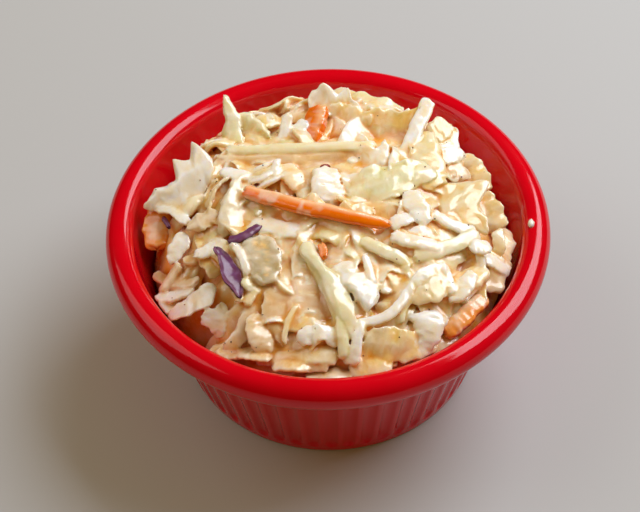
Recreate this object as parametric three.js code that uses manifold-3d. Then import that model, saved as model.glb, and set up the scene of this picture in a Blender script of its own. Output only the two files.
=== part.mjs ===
// Coleslaw heaped in a small red fluted ramekin.
// Millimetres, +Z up. The origin is the centre of the ramekin's flat base, and -Y is the front.

import * as THREE from "three";
import { mergeVertices } from "three/addons/utils/BufferGeometryUtils.js";
import Module from "manifold-3d";

const wasm = await Module();
wasm.setup();

// Ramekin: a thick lip on a fluted, flared wall
const cupHeight = 37;
const rimRadius = 44.5;
const lipRound = 3; // radius of the lip's outer edge
const lipUnderAngle = -60; // degrees, where the lip's round edge meets its underside
const lipInnerRadius = 38.8;
const lipInnerRound = 2.6;
const coveRadius = 38.4; // hollow under the lip
const coveHeight = 29.2;
const wallTopRadius = 37.4;
const wallTopHeight = 26.5;
const baseRadius = 31;
const footChamfer = 0.7;
const floorHeight = 4.5; // inside floor above the base
const floorRadius = 27.5;
const floorCornerRise = 2.2;
const innerFlare = 0.3; // inner wall's gain in radius for each millimetre of height
const cupSegments = 56;
const lipSteps = 5; // facets round the lip outside
const lipInnerSteps = 3; // and inside

// Flutes: round-ended grooves down the outside of the wall
const fluteCount = 56;
const fluteRadius = 1.7;
const fluteDepth = 0.6;
const fluteBottom = 2;
const fluteTop = 25;
const fluteTurn = -0.8; // degrees from the front to the nearest groove
const fluteEndSteps = 1;
const fluteSides = 10;

// Heap: a dome that stands above the rim and falls to an uneven line on the inner wall
const heapCrown = 42.3;
const heapLean = 0.08; // rise of the crown for each millimetre towards the back
const heapReach = 36;
const heapSteepness = 8;
const edgeMean = 27.4; // mean height of the line where the heap meets the wall
const edgeRight = 0.75;
const edgeFront = 3.2;
const edgeTwofold = 1.6;
const dipAngle = -133; // degrees, a hollow at the wall
const dipSpread = 12;
const dipDepth = 6;
const coreSink = 0.6; // core lies this far under the shreds' mean level
const coreBump = 0.8; // height of the core's own unevenness
const coreBumpSpan = 11; // and its wavelength
const coreBumpTurnX = 1; // radians, where its waves begin
const coreBumpTurnY = 2;
const coreSegments = 36;
const coreRings = 6;
const wallGap = 0.4; // food to ramekin

// Shreds: steps along a strip, columns across it, and how its section thins towards its edges
const stripSteps = 4;
const stripColumns = 2;
const leafSteps = 4;
const leafColumns = 3;
const edgeThickness = 0.7; // share of the middle thickness left at an edge
const tipWidth = 0.6; // share of the full width left at an end
const leafWave = 0.55; // height of a leaf's waves

// Loose fill between the shreds that show
const fillCount = 24;
const fillSteps = 3;
const fillSeed = 11;
const fillReach = 34;
const goldenAngle = 137.508;
const fillHalf = [4.5, 7.5];
const fillBend = [-2, 2];
const fillEndLift = [-3.8, -2];
const fillMidLift = [-2.2, -0.8];
const fillWidth = [2.8, 4.6];
const fillThickness = [1.3, 2];
const fillRoll = [-30, 30];

// Shreds that show, each laid through three points: from, by, to, then width, thickness and roll in degrees.
// Roll raises the right-hand edge as seen along the shred. A torn outline follows where there is one:
// pairs of share along and width, for the left edge and for the right.
const leaves = [
  [[-36.8, 4.2, 37], [-30.5, 6.5, 40.6], [-23, 11, 43], 8, 0.9, -15,
    [[0, 0.6], [0.2, 1.6], [0.56, 1.3], [0.66, 5], [0.82, 2.8], [0.97, 6.2], [1, 3]],
    [[0, 1.8], [0.2, 2.4], [0.4, 4.4], [0.68, 5.4], [0.85, 3.6], [1, 2]]],
  [[-19, 16.5, 41], [-19.7, 21.5, 43.2], [-20.3, 26.5, 45.6], 4, 1.2, 20,
    [[0, 1.8], [0.35, 1.8], [0.5, 0.9], [0.75, 0.9], [1, 0.5]],
    [[0, 2.6], [0.55, 2.4], [0.8, 1.3], [1, 0.5]]],
  [[-17.8, 22.8, 43.6], [-14.3, 20.8, 43.2], [-11.2, 17.5, 42.2], 6, 1.1, -35,
    [[0, 0.7], [0.3, 1.6], [0.6, 0.9], [1, 0.4]],
    [[0, 3], [0.4, 5.4], [0.7, 4], [1, 0.8]]],
  [[-3, 25, 42], [2, 25.6, 42.6], [7.8, 24, 42], 7, 1, -35,
    [[0, 1.5], [0.15, 3.7], [0.24, 3.6], [0.35, 5], [0.54, 2.8], [0.7, 4.5], [0.78, 2], [1, 0.5]],
    [[0, 1.5], [0.4, 2.8], [0.8, 2.4], [1, 1]]],
  [[1.5, 23, 42.2], [5, 22.5, 42.8], [8.5, 20, 42], 5, 0.9, -30],
  [[6, 20.5, 42], [13, 20, 42], [20, 18, 42.2], 9, 0.9, -40,
    [[0, 1.6], [0.2, 2.7], [0.36, 3.8], [0.42, 3.1], [0.65, 3.2], [0.9, 5.2], [1, 3.5]],
    [[0, 1], [0.5, 5], [0.8, 6], [1, 3]]],
  [[21.3, 17, 41.8], [24.1, 18.9, 41.8], [26.6, 19, 41], 5, 0.9, -15,
    [[0, 2], [0.5, 3], [0.7, 1.6], [1, 0.4]],
    [[0, 2.6], [0.6, 2.6], [1, 1.8]]],
  [[21.7, 10.4, 41.6], [25, 11.6, 41.4], [28.2, 12.1, 40.4], 4.5, 0.9, -15,
    [[0, 1.8], [0.8, 2.1], [1, 0.6]],
    [[0, 2.6], [0.5, 1.9], [0.9, 1], [1, 0.3]]],
  [[21.3, 16.9, 43], [20.5, 9.9, 42.8], [21.3, 2.4, 42], 6.4, 0.9, 5,
    [[0, 1.4], [0.25, 2.6], [0.65, 3.3], [0.95, 2.9], [1, 2]],
    [[0, 1.6], [0.25, 2.9], [0.55, 3.5], [0.85, 3.2], [1, 1.8]]],
  [[23.6, 7, 40.5], [26.1, 8.4, 40], [28.7, 7.6, 39], 3.2, 0.9, 0],
  [[4.2, 1.3, 42.4], [12.2, 3, 43.4], [21.3, 6.3, 43], 8, 0.9, -12,
    [[0, 1.2], [0.16, 2.8], [0.27, 4.6], [0.41, 5.1], [0.55, 3.9], [0.85, 3.6], [1, 2.6]],
    [[0, 1.7], [0.2, 2.6], [0.35, 3.5], [0.55, 4.1], [0.7, 3.2], [1, 1.8]]],
  [[22.4, 1.5, 40.6], [27.2, -1, 40.4], [31.4, -6.5, 38.4], 9, 0.9, -5,
    [[0, 2], [0.1, 3.7], [0.3, 5.5], [0.52, 7.5], [0.58, 4.5], [0.63, 2], [0.85, 1.7], [1, 0.8]],
    [[0, 3.4], [0.3, 4.6], [0.54, 5], [0.8, 3.9], [0.92, 1.8], [1, 0.8]]],
  [[-0.4, 7.3, 43.4], [0.1, 2.9, 43.2], [0.6, -0.5, 41.6], 6, 1.7, 0,
    [[0, 2.5], [0.46, 2.8], [0.8, 3.3], [1, 1.8]],
    [[0, 2.4], [0.4, 3], [0.8, 3.6], [1, 2]]],
  [[16.6, 0.6, 43.2], [17.3, -3.9, 43.2], [18.7, -7.6, 42], 5, 1.5, 0,
    [[0, 2], [0.3, 1.9], [0.6, 2.9], [0.94, 2.1], [1, 1.4]],
    [[0, 1.2], [0.17, 2], [0.38, 2.5], [0.68, 1.3], [1, 0.7]]],
  [[-16.9, 5.4, 43.2], [-19.5, 0.4, 43.2], [-18.7, -7.5, 41.6], 5, 1, 8,
    [[0, 1.4], [0.24, 2.4], [0.62, 3.1], [0.81, 4.3], [0.95, 2.9], [1, 1.5]],
    [[0, 1.2], [0.37, 0.8], [0.69, 1.4], [0.95, 2.5], [1, 1.5]]],
  [[1.8, -16, 41.2], [5.3, -21, 41], [7.4, -25.8, 39], 7, 1.1, 0,
    [[0, 2.3], [0.15, 2.9], [0.33, 2], [0.36, 4], [0.52, 3.4], [0.75, 3.2], [0.95, 1.9], [1, 1]],
    [[0, 2.6], [0.32, 2.6], [0.55, 1.9], [0.77, 1.6], [1, 1]]],
  [[-3.7, -10.9, 42], [0.3, -21.8, 41], [4, -31.2, 37.5], 4.6, 1.1, -12,
    [[0, 1.2], [0.28, 1], [0.52, 2.9], [0.8, 2.6], [1, 1]],
    [[0, 2], [0.05, 2.3], [0.7, 1.9], [0.88, 2.5], [1, 1.2]]],
  [[14.1, -23.6, 39], [17.4, -18.8, 40.6], [23.1, -16.7, 39.6], 3.2, 0.9, -15,
    [[0, 0.4], [0.35, 0.4], [0.57, 1.2], [1, 1]],
    [[0, 1.9], [0.4, 2.3], [0.77, 1.7], [1, 0.9]]],
  [[15.2, -24.4, 38.6], [18.8, -22, 39.4], [22.3, -19.8, 39], 5, 0.9, -22,
    [[0, 0.6], [1, 1.9]],
    [[0, 1.2], [0.54, 3.4], [0.9, 2.8], [1, 1.5]]],
  [[27.5, -16.9, 39], [25.8, -20, 38.6], [23.3, -23.5, 37.6], 3.6, 1, 0,
    [[0, 1.1], [0.4, 2.1], [0.72, 1.9], [1, 1]],
    [[0, 1], [0.5, 1.5], [1, 1]]],
  [[5.9, -31.6, 36.4], [11.1, -32, 36], [16.8, -31.5, 34.2], 7, 0.8, -40,
    [[0, 2], [0.4, 3.5], [0.72, 3.5], [1, 2.5]],
    [[0, 3], [0.1, 3.5], [0.53, 3.2], [0.9, 1.6], [1, 1]]],
  [[18.6, -25.3, 37.6], [18.4, -29.1, 36.6], [17.5, -32.3, 34], 6, 1.1, 0,
    [[0, 2.3], [0.22, 3.3], [0.5, 2.7], [0.74, 2.6], [1, 1]],
    [[0, 3.2], [0.07, 3.5], [0.43, 3.1], [0.7, 1.7], [1, 0.8]]],
  [[-28.4, -4.2, 38], [-29.6, -7.2, 37], [-31, -9.9, 35.4], 3.8, 1.1, 0,
    [[0, 1.2], [0.24, 2.1], [0.86, 1.4], [1, 0.6]],
    [[0, 1.2], [0.53, 2.1], [0.83, 1.4], [1, 0.6]]],
  [[-21.9, -1.4, 41.4], [-24.5, -2.7, 40.4], [-27.7, -4, 39], 4.6, 0.8, 0,
    [[0, 1.5], [0.25, 2.3], [0.6, 2.7], [1, 0.8]],
    [[0, 1], [0.6, 2], [1, 1.1]]],
  [[-34.3, 2.6, 37.5], [-30.9, 1.6, 38.5], [-27.8, -2.3, 38.5], 2.8, 0.9, 0],
  [[-22.4, -17.2, 37.4], [-25.8, -19.7, 35.4], [-31.3, -20.4, 31.8], 4.8, 1.1, 0,
    [[0, 1], [0.1, 1.4], [0.25, 2.7], [0.43, 2.9], [0.67, 2.3], [1, 1.2]],
    [[0, 1.2], [0.26, 1.9], [0.84, 1.7], [1, 1]]],
  [[-21.5, -21.5, 36.2], [-22.1, -23.5, 35], [-22.7, -25.3, 33], 5, 0.9, 0],
  [[-12.9, -19.3, 38], [-16.1, -25.5, 36], [-20, -29.6, 32.8], 3.4, 0.9, 10,
    [[0, 0.9], [0.5, 1.3], [0.73, 2.2], [1, 1.5]],
    [[0, 0.8], [0.5, 1.4], [1, 1]]],
  [[-13.9, -24.5, 37.4], [-12.2, -28.4, 36.4], [-11.5, -31.8, 34.6], 5, 0.8, 15,
    [[0, 0.8], [0.48, 1.5], [1, 1.2]],
    [[0, 2.4], [0.39, 4.1], [0.82, 3.5], [1, 2]]],
  [[-11, -19.7, 39], [-10.3, -25.3, 37.6], [-9.2, -30.5, 35], 5, 0.9, 0,
    [[0, 2.4], [0.27, 3.1], [0.61, 1.9], [1, 0.5]],
    [[0, 1.6], [0.48, 2.6], [0.72, 1.6], [1, 0.8]]],
  [[-14.3, -32.1, 32.4], [-7.4, -33.8, 34], [-0.3, -35, 34.6], 4, 0.9, -20,
    [[0, 1], [0.25, 1.8], [0.58, 2.4], [1, 2]],
    [[0, 0.8], [0.5, 1.8], [1, 1.8]]],
  [[-13.2, -8.9, 41.8], [-12.8, -14.7, 41.4], [-12.5, -19.8, 40], 7.8, 1.2, 0,
    [[0, 2.2], [0.1, 2.8], [0.43, 3.9], [0.72, 3.5], [0.96, 2.8], [1, 1.5]],
    [[0, 2.4], [0.14, 3.4], [0.36, 3.7], [0.64, 2.8], [0.9, 1.6], [1, 1]]],
  [[-5, -16.3, 40], [-4.5, -22.9, 38.4], [-3.9, -28.6, 36.4], 8, 0.9, 0,
    [[0, 2.5], [0.34, 3.8], [0.67, 4.3], [1, 3.6]],
    [[0, 2], [0.29, 2.8], [0.6, 4], [0.92, 4.8], [1, 3]]],
];
const strips = [
  [[-20.1, 13.9, 42], [-7.2, 12.8, 43.2], [10.2, 13.1, 43], 2.6, 1.3, -20],
  [[-22, 12.6, 41.6], [-8.2, 10.6, 42.6], [9.3, 12, 42.2], 2.6, 1.3, -25],
  [[15.5, 10.5, 42], [18.6, 17.3, 43.8], [21.4, 23.8, 45.4], 3.2, 1.4, 0],
  [[-21, 7.9, 42.8], [-18, 6.7, 43], [-14.8, 6.2, 42.6], 2.8, 1.1, 0],
  [[-23.6, -0.3, 40.6], [-22.5, 3.2, 42], [-19.7, 5.7, 43], 2.6, 0.8, 45],
  [[-8.4, 9, 42.8], [-6.8, 5.9, 42.8], [-5.3, 3.4, 42], 4.2, 1.3, 0],
  [[-15, -5.2, 41.3], [-9, -7, 41.8], [-3.5, -8.2, 41.5], 4, 1.2, 0],
  [[1.7, -24.7, 39.4], [2.2, -29.8, 38.2], [2.2, -34.4, 35.6], 2.3, 1.3, 0],
  [[5.6, -28.1, 38.6], [4.9, -32.1, 37.4], [3.1, -35.2, 34.6], 3, 1.4, 0,
    [[0, 1], [0.6, 1.1], [0.85, 1.9], [1, 1.4]],
    [[0, 1], [0.6, 1.1], [0.85, 1.9], [1, 1.4]]],
  [[5.2, -28.4, 38.4], [10.9, -27, 38.8], [15.1, -21.9, 39.6], 2.1, 1.3, 0],
  [[8.2, -20.6, 40.6], [7.6, -17.2, 41.6], [6.7, -14.6, 42], 1.7, 1, 0],
  [[6.2, -11, 42], [10.9, -13.6, 41.8], [15.2, -16.2, 40.8], 2.8, 1.3, 0],
  [[12.2, -10.1, 42.2], [16.8, -11.8, 42.2], [21.7, -12.7, 41.2], 3.2, 1.4, 0],
  [[16.4, -14.6, 41], [22.7, -12.7, 41.2], [29.3, -8.2, 40.2], 3, 1.1, -20],
  [[20.5, -4.3, 42], [23.9, -6.7, 41.4], [28.5, -7.9, 40.4], 2.5, 1.2, 0],
  [[20.5, -19.5, 37.2], [25.5, -19, 37.6], [29.5, -15, 37.2], 5, 2.4, 0],
  [[29, -12.6, 39.6], [29.1, -16.6, 37.4], [25.3, -22.5, 36.6], 1.9, 1.1, 0],
  [[30, -9.8, 33.8], [33, -7.3, 33], [35.6, -3.5, 31.5], 3, 1.2, 0],
  [[-29.1, -10.5, 36], [-31, -12.5, 34.2], [-33, -14.5, 32.4], 2, 1.1, 0],
  [[-33.8, -15, 31.8], [-30.7, -16.3, 33], [-26.5, -16.1, 35], 2.8, 1.1, 0],
  [[-34.5, -8.5, 31], [-30.5, -13, 33], [-25.5, -15, 36], 2.6, 1.1, 0],
  [[-18.6, -10.5, 41.6], [-16.6, -14.2, 41.6], [-15.7, -17.7, 40.4], 1.8, 1.1, 0],
  [[-6.4, -24.1, 38.6], [-8.2, -27.6, 37.6], [-8.8, -30.9, 36], 1.2, 1, 0],
  [[-5.4, -30.5, 37], [-2.7, -29.9, 37.6], [1, -30.7, 37], 2.6, 1.4, 0],
  [[5.4, -34.3, 32.8], [8.8, -34.6, 32.8], [12.6, -33.4, 32.6], 1.8, 1, 0],
  [[-17.5, -30.5, 33], [-14.5, -31.6, 34], [-11.5, -32.4, 34], 4.5, 1.1, 20],
  [[-11, -34.2, 33.4], [-7.5, -34.6, 34.4], [-4, -35.2, 34], 4, 1.1, 10],
  [[-6, -32.5, 34.6], [-2.5, -33.2, 35.2], [1.5, -33.6, 34.8], 4, 1.1, -10],
  [[3.5, -35.6, 33.4], [7.5, -35.4, 34], [11.5, -34.2, 33.6], 4, 1.1, -15],
  [[12, -33, 33.8], [16, -31.6, 34.4], [20, -29.4, 33.8], 4.5, 1.1, -20],
  [[20, -30.5, 32.6], [23, -28, 33.4], [25.5, -25.5, 33.2], 3.5, 1.1, -10],
  [[30.5, 4, 37.6], [32.5, 0.5, 37], [34, -3.5, 35.4], 5, 1.1, -10],
  [[27.5, 14, 38.4], [30, 10, 38], [31.5, 5.5, 37], 5, 1.1, -15],
  [[-12, 21, 40], [-7, 24, 41], [-2, 26, 41], 3, 1.1, 0],
];
const carrots = [
  [[-16.1, 1.4, 43.4], [-3, -4.4, 44.4], [12.1, -8.2, 43.2], 3, 2.4, -28],
  [[-3.3, 16.5, 41], [-2.2, 20.3, 42.6], [-0.9, 24.4, 43.4], 5, 2.8, 20],
  [[-34.3, -3.5, 32.5], [-34, 2, 34.5], [-32, 7, 36.5], 5.5, 2.6, 0],
  [[22.3, -26.5, 32.4], [26, -22.6, 32.8], [29.8, -18, 32.4], 3.4, 2.4, 0],
];
const purples = [
  [[-13.4, -6.3, 41.9], [-16.1, -8.8, 42], [-19.2, -9.4, 41.4], 1.9, 1.1, 0],
  [[-21.7, -11.2, 41], [-19.7, -17.1, 40.4], [-17.3, -21.9, 38.8], 3.4, 0.9, 15,
    [[0, 0.9], [0.15, 1.1], [0.29, 2], [0.51, 2.5], [0.76, 2.2], [1, 0.6]],
    [[0, 0.9], [0.3, 0.9], [0.55, 1.4], [0.74, 1.4], [1, 0.5]]],
];

// Colours
const cupRed = 0xd0021b;
const cupRoughness = 0.25;
const slawCream = 0xf0e2c4;
const slawRoughness = 0.5;

// A closed geometry as a solid for joining and cutting.
function solidOf(geometry) {
  const bare = geometry.index ? geometry.toNonIndexed() : geometry.clone();
  bare.deleteAttribute("normal");
  bare.deleteAttribute("uv");
  const merged = mergeVertices(bare, 1e-5);
  const vertProperties = Float32Array.from(merged.attributes.position.array);
  const triVerts = Uint32Array.from(merged.index.array);
  return new wasm.Manifold(new wasm.Mesh({ numProp: 3, vertProperties, triVerts }));
}

// The outermost closed shell of a solid: sealed hollows are filled and loose scraps dropped.
function outerShell(solid) {
  const mesh = solid.getMesh();
  const points = mesh.vertProperties;
  const corners = mesh.triVerts;
  const parent = Uint32Array.from({ length: mesh.numVert }, (_, i) => i);
  const rootOf = (i) => {
    let at = i;
    while (parent[at] !== at) {
      parent[at] = parent[parent[at]];
      at = parent[at];
    }
    return at;
  };
  for (let i = 0; i < corners.length; i += 3) {
    parent[rootOf(corners[i])] = rootOf(corners[i + 1]);
    parent[rootOf(corners[i + 1])] = rootOf(corners[i + 2]);
  }
  const count = new Map();
  for (const corner of corners) {
    const root = rootOf(corner);
    count.set(root, (count.get(root) ?? 0) + 1);
  }
  const larger = (best, root) => (count.get(root) > count.get(best) ? root : best);
  const largest = [...count.keys()].reduce(larger);
  const kept = corners.filter((corner) => rootOf(corner) === largest);
  const geometry = new THREE.BufferGeometry();
  geometry.setAttribute("position", new THREE.BufferAttribute(Float32Array.from(points), 3));
  geometry.setIndex([...kept]);
  return geometry.toNonIndexed();
}

function namedMesh(name, geometry, color, roughness) {
  geometry.computeVertexNormals();
  const mesh = new THREE.Mesh(geometry, new THREE.MeshStandardMaterial({ color, roughness, metalness: 0 }));
  mesh.name = name;
  return mesh;
}

// Radius of the ramekin's inner wall at a height.
function innerRadius(z) {
  return lipInnerRadius - (cupHeight - lipInnerRound - z) * innerFlare;
}

// A round stretch of a profile, with its centre, radius and two angles in degrees.
function arcPoints(x, z, radius, fromAngle, toAngle, steps) {
  const points = [];
  for (let i = 0; i <= steps; i += 1) {
    const angle = THREE.MathUtils.degToRad(fromAngle + ((toAngle - fromAngle) * i) / steps);
    points.push(new THREE.Vector2(x + radius * Math.cos(angle), z + radius * Math.sin(angle)));
  }
  return points;
}

// Ramekin body turned about Z, from the base's centre up the outside and down the inside.
function cupBody() {
  const cornerHeight = floorHeight + floorCornerRise;
  const innerEdge = lipInnerRadius + lipInnerRound;
  const profile = [
    new THREE.Vector2(0, 0),
    new THREE.Vector2(baseRadius - footChamfer, 0),
    new THREE.Vector2(baseRadius, footChamfer),
    new THREE.Vector2(wallTopRadius, wallTopHeight),
    new THREE.Vector2(coveRadius, coveHeight),
    ...arcPoints(rimRadius - lipRound, cupHeight - lipRound, lipRound, lipUnderAngle, 90, lipSteps),
    ...arcPoints(innerEdge, cupHeight - lipInnerRound, lipInnerRound, 90, 180, lipInnerSteps),
    new THREE.Vector2(innerRadius(cornerHeight), cornerHeight),
    new THREE.Vector2(floorRadius, floorHeight),
    new THREE.Vector2(0, floorHeight),
  ];
  const body = new THREE.LatheGeometry(profile, cupSegments);
  body.rotateX(Math.PI / 2);
  return body;
}

// One groove cutter: a capsule that leans with the wall and is sunk into it by the flute's depth.
function fluteCutter(angle) {
  const rise = wallTopHeight - footChamfer;
  const flare = (wallTopRadius - baseRadius) / rise;
  const middle = (fluteBottom + fluteTop) / 2;
  const lean = Math.atan(flare);
  const length = (fluteTop - fluteBottom) / Math.cos(lean) - 2 * fluteRadius;
  const wallRadius = baseRadius + (middle - footChamfer) * flare;
  const cutter = new THREE.CapsuleGeometry(fluteRadius, length, fluteEndSteps, fluteSides);
  cutter.rotateX(Math.PI / 2);
  cutter.rotateY(lean);
  cutter.translate(wallRadius + (fluteRadius - fluteDepth) / Math.cos(lean), 0, middle);
  cutter.rotateZ(angle);
  return cutter;
}

function ramekin() {
  const front = THREE.MathUtils.degToRad(fluteTurn - 90);
  const pitch = (2 * Math.PI) / fluteCount;
  let body = solidOf(cupBody().rotateZ(front + pitch / 2));
  for (let i = 0; i < fluteCount; i += 1) {
    body = body.subtract(solidOf(fluteCutter(front + i * pitch)));
  }
  return namedMesh("ramekin", outerShell(body), cupRed, cupRoughness);
}

// Mean level of the shreds over a plan point: a flat-topped dome that falls to the wall line.
function heapHeight(x, y) {
  const angle = Math.atan2(y, x);
  const reach = Math.min(Math.hypot(x, y) / heapReach, 1);
  const aside = THREE.MathUtils.euclideanModulo(THREE.MathUtils.radToDeg(angle) - dipAngle + 180, 360) - 180;
  const dip = dipDepth * Math.exp(-((aside / dipSpread) ** 2));
  const sway = edgeRight * Math.cos(angle) - edgeFront * Math.sin(angle) - edgeTwofold * Math.cos(2 * angle);
  const wallLine = edgeMean + sway - dip;
  const crown = heapCrown + heapLean * y;
  return crown - (crown - wallLine) * reach ** heapSteepness;
}

// Top of the core: the dome lowered, with low bumps.
function coreHeight(x, y) {
  const turn = (2 * Math.PI) / coreBumpSpan;
  const bump = Math.sin(turn * x + coreBumpTurnX) * Math.sin(turn * y + coreBumpTurnY);
  return heapHeight(x, y) - coreSink + coreBump * bump;
}

// A point drawn in, where it has to be, to stay clear of the ramekin's inner wall.
function clearOfWall(point) {
  const limit = innerRadius(Math.min(point.z, cupHeight - lipInnerRound)) - wallGap;
  const radius = Math.hypot(point.x, point.y);
  const draw = radius > limit ? limit / radius : 1;
  return new THREE.Vector3(point.x * draw, point.y * draw, point.z);
}

// Closed rings of points joined into a skin, with a fan to each pole.
function skinOfRings(bottom, rings, top) {
  const size = rings[0].length;
  const points = [bottom, ...rings.flat(), top];
  const index = [];
  for (let i = 0; i < size; i += 1) {
    const next = (i + 1) % size;
    index.push(0, 1 + next, 1 + i);
    for (let row = 0; row + 1 < rings.length; row += 1) {
      const low = 1 + row * size;
      const high = low + size;
      index.push(low + i, low + next, high + next, low + i, high + next, high + i);
    }
    const last = 1 + (rings.length - 1) * size;
    index.push(last + i, last + next, points.length - 1);
  }
  const geometry = new THREE.BufferGeometry().setFromPoints(points);
  geometry.setIndex(index);
  return geometry;
}

// Core of the heap: it fills the ramekin's inside and follows the dome a little below the shreds.
function heapCore() {
  const floor = floorHeight + wallGap;
  const cornerHeight = floorHeight + floorCornerRise + wallGap;
  const ringAt = (place) =>
    Array.from({ length: coreSegments }, (_, i) => place((2 * Math.PI * i) / coreSegments));
  const polar = (radius, angle, z) => {
    const x = radius * Math.cos(angle);
    const y = radius * Math.sin(angle);
    return new THREE.Vector3(x, y, z);
  };
  const rings = [
    ringAt((angle) => polar(floorRadius - wallGap, angle, floor)),
    ringAt((angle) => polar(innerRadius(cornerHeight) - wallGap, angle, cornerHeight)),
  ];
  for (let row = coreRings; row >= 1; row -= 1) {
    rings.push(
      ringAt((angle) => {
        const radius = (heapReach * row) / coreRings;
        const plan = polar(radius, angle, 0);
        return clearOfWall(polar(radius, angle, coreHeight(plan.x, plan.y)));
      }),
    );
  }
  const bottom = new THREE.Vector3(0, 0, floor);
  const top = new THREE.Vector3(0, 0, coreHeight(0, 0));
  return skinOfRings(bottom, rings, top);
}

// Width of a torn outline at a share along it, straight between its pairs.
function widthAt(outline, t) {
  const after = Math.max(outline.findIndex(([share]) => share >= t), 1);
  const [[fromShare, fromWidth], [toShare, toWidth]] = [outline[after - 1], outline[after]];
  return fromWidth + ((toWidth - fromWidth) * (t - fromShare)) / (toShare - fromShare);
}

// A strip or leaf: a lens-shaped section carried along the parabola through three points.
// Both faces share the same columns, so they split into triangles alike.
function shred([from, by, to, width, thickness, roll, left, right], steps, columns, wave) {
  const start = new THREE.Vector3(...from);
  const end = new THREE.Vector3(...to);
  const middle = start.clone().add(end).multiplyScalar(0.5);
  const handle = new THREE.Vector3(...by).multiplyScalar(2).sub(middle);
  const path = new THREE.QuadraticBezierCurve3(start, handle, end);
  const up = new THREE.Vector3(0, 0, 1);
  const points = [];
  for (let i = 0; i <= steps; i += 1) {
    const t = i / steps;
    const along = path.getTangent(t);
    const across = along.clone().cross(up).normalize();
    across.applyAxisAngle(along, THREE.MathUtils.degToRad(-roll));
    const normal = across.clone().cross(along);
    const plain = (width / 2) * (tipWidth + (1 - tipWidth) * Math.sin(Math.PI * t) ** 0.5);
    const leftHalf = left ? widthAt(left, t) : plain;
    const rightHalf = right ? widthAt(right, t) : plain;
    const face = (side) =>
      Array.from({ length: columns }, (_, j) => {
        const s = (2 * j) / (columns - 1) - 1;
        const half = s < 0 ? leftHalf : rightHalf;
        const thin = edgeThickness + (1 - edgeThickness) * (1 - s * s);
        const ripple = wave * Math.sin(2 * Math.PI * t + 2 * s);
        const lift = ripple + (side * thickness * thin) / 2;
        return clearOfWall(path.getPoint(t).addScaledVector(across, s * half).addScaledVector(normal, lift));
      });
    points.push(...face(1), ...face(-1).reverse());
  }
  const loop = 2 * columns;
  const index = [];
  for (let i = 0; i < steps; i += 1) {
    for (let j = 0; j < loop; j += 1) {
      const here = i * loop + j;
      const side = i * loop + ((j + 1) % loop);
      index.push(here, side, side + loop, here, side + loop, here + loop);
    }
  }
  const last = steps * loop;
  for (let j = 0; j + 1 < columns; j += 1) {
    const under = loop - 1 - j;
    index.push(j, under, under - 1, j, under - 1, j + 1);
    index.push(last + j, last + under - 1, last + under, last + j, last + j + 1, last + under - 1);
  }
  const geometry = new THREE.BufferGeometry().setFromPoints(points);
  geometry.setIndex(index);
  return geometry;
}

// Repeatable random numbers from 0 to 1.
function seeded(seed) {
  let state = seed;
  return () => {
    state = (state + 0x6d2b79f5) | 0;
    let mixed = Math.imul(state ^ (state >>> 15), 1 | state);
    mixed = (mixed + Math.imul(mixed ^ (mixed >>> 7), 61 | mixed)) ^ mixed;
    return ((mixed ^ (mixed >>> 14)) >>> 0) / 4294967296;
  };
}

// Short strips spread evenly over the dome on a sunflower spiral, each lying along the surface.
function fillStrips() {
  const random = seeded(fillSeed);
  const between = ([low, high]) => low + (high - low) * random();
  return Array.from({ length: fillCount }, (_, i) => {
    const radius = fillReach * Math.sqrt((i + 0.5) / fillCount);
    const angle = THREE.MathUtils.degToRad(i * goldenAngle);
    const x = radius * Math.cos(angle);
    const y = radius * Math.sin(angle);
    const heading = between([0, Math.PI]);
    const half = between(fillHalf);
    const bend = between(fillBend);
    const at = (step, lift) => {
      const px = x + step * half * Math.cos(heading) - (1 - step * step) * bend * Math.sin(heading);
      const py = y + step * half * Math.sin(heading) + (1 - step * step) * bend * Math.cos(heading);
      return [px, py, heapHeight(px, py) + lift];
    };
    const points = [at(-1, between(fillEndLift)), at(0, between(fillMidLift)), at(1, between(fillEndLift))];
    return [...points, between(fillWidth), between(fillThickness), between(fillRoll)];
  });
}

function slaw() {
  const shown = [...strips, ...carrots, ...purples];
  const shreds = [
    ...leaves.map((row) => shred(row, leafSteps, leafColumns, leafWave)),
    ...shown.map((row) => shred(row, stripSteps, stripColumns, 0)),
    ...fillStrips().map((row) => shred(row, fillSteps, stripColumns, 0)),
  ];
  const heap = shreds.reduce((whole, piece) => whole.add(solidOf(piece)), solidOf(heapCore()));
  return namedMesh("slaw", outerShell(heap), slawCream, slawRoughness);
}

const group = new THREE.Group();
group.add(ramekin(), slaw());

export default group;
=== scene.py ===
# Coleslaw heaped in a small red fluted ramekin.
# Shapes are worked out in millimetres, as in the part's source, and put into meshes in metres.

import bmesh
import bpy
import numpy as np
from mathutils import Matrix, Vector


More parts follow.
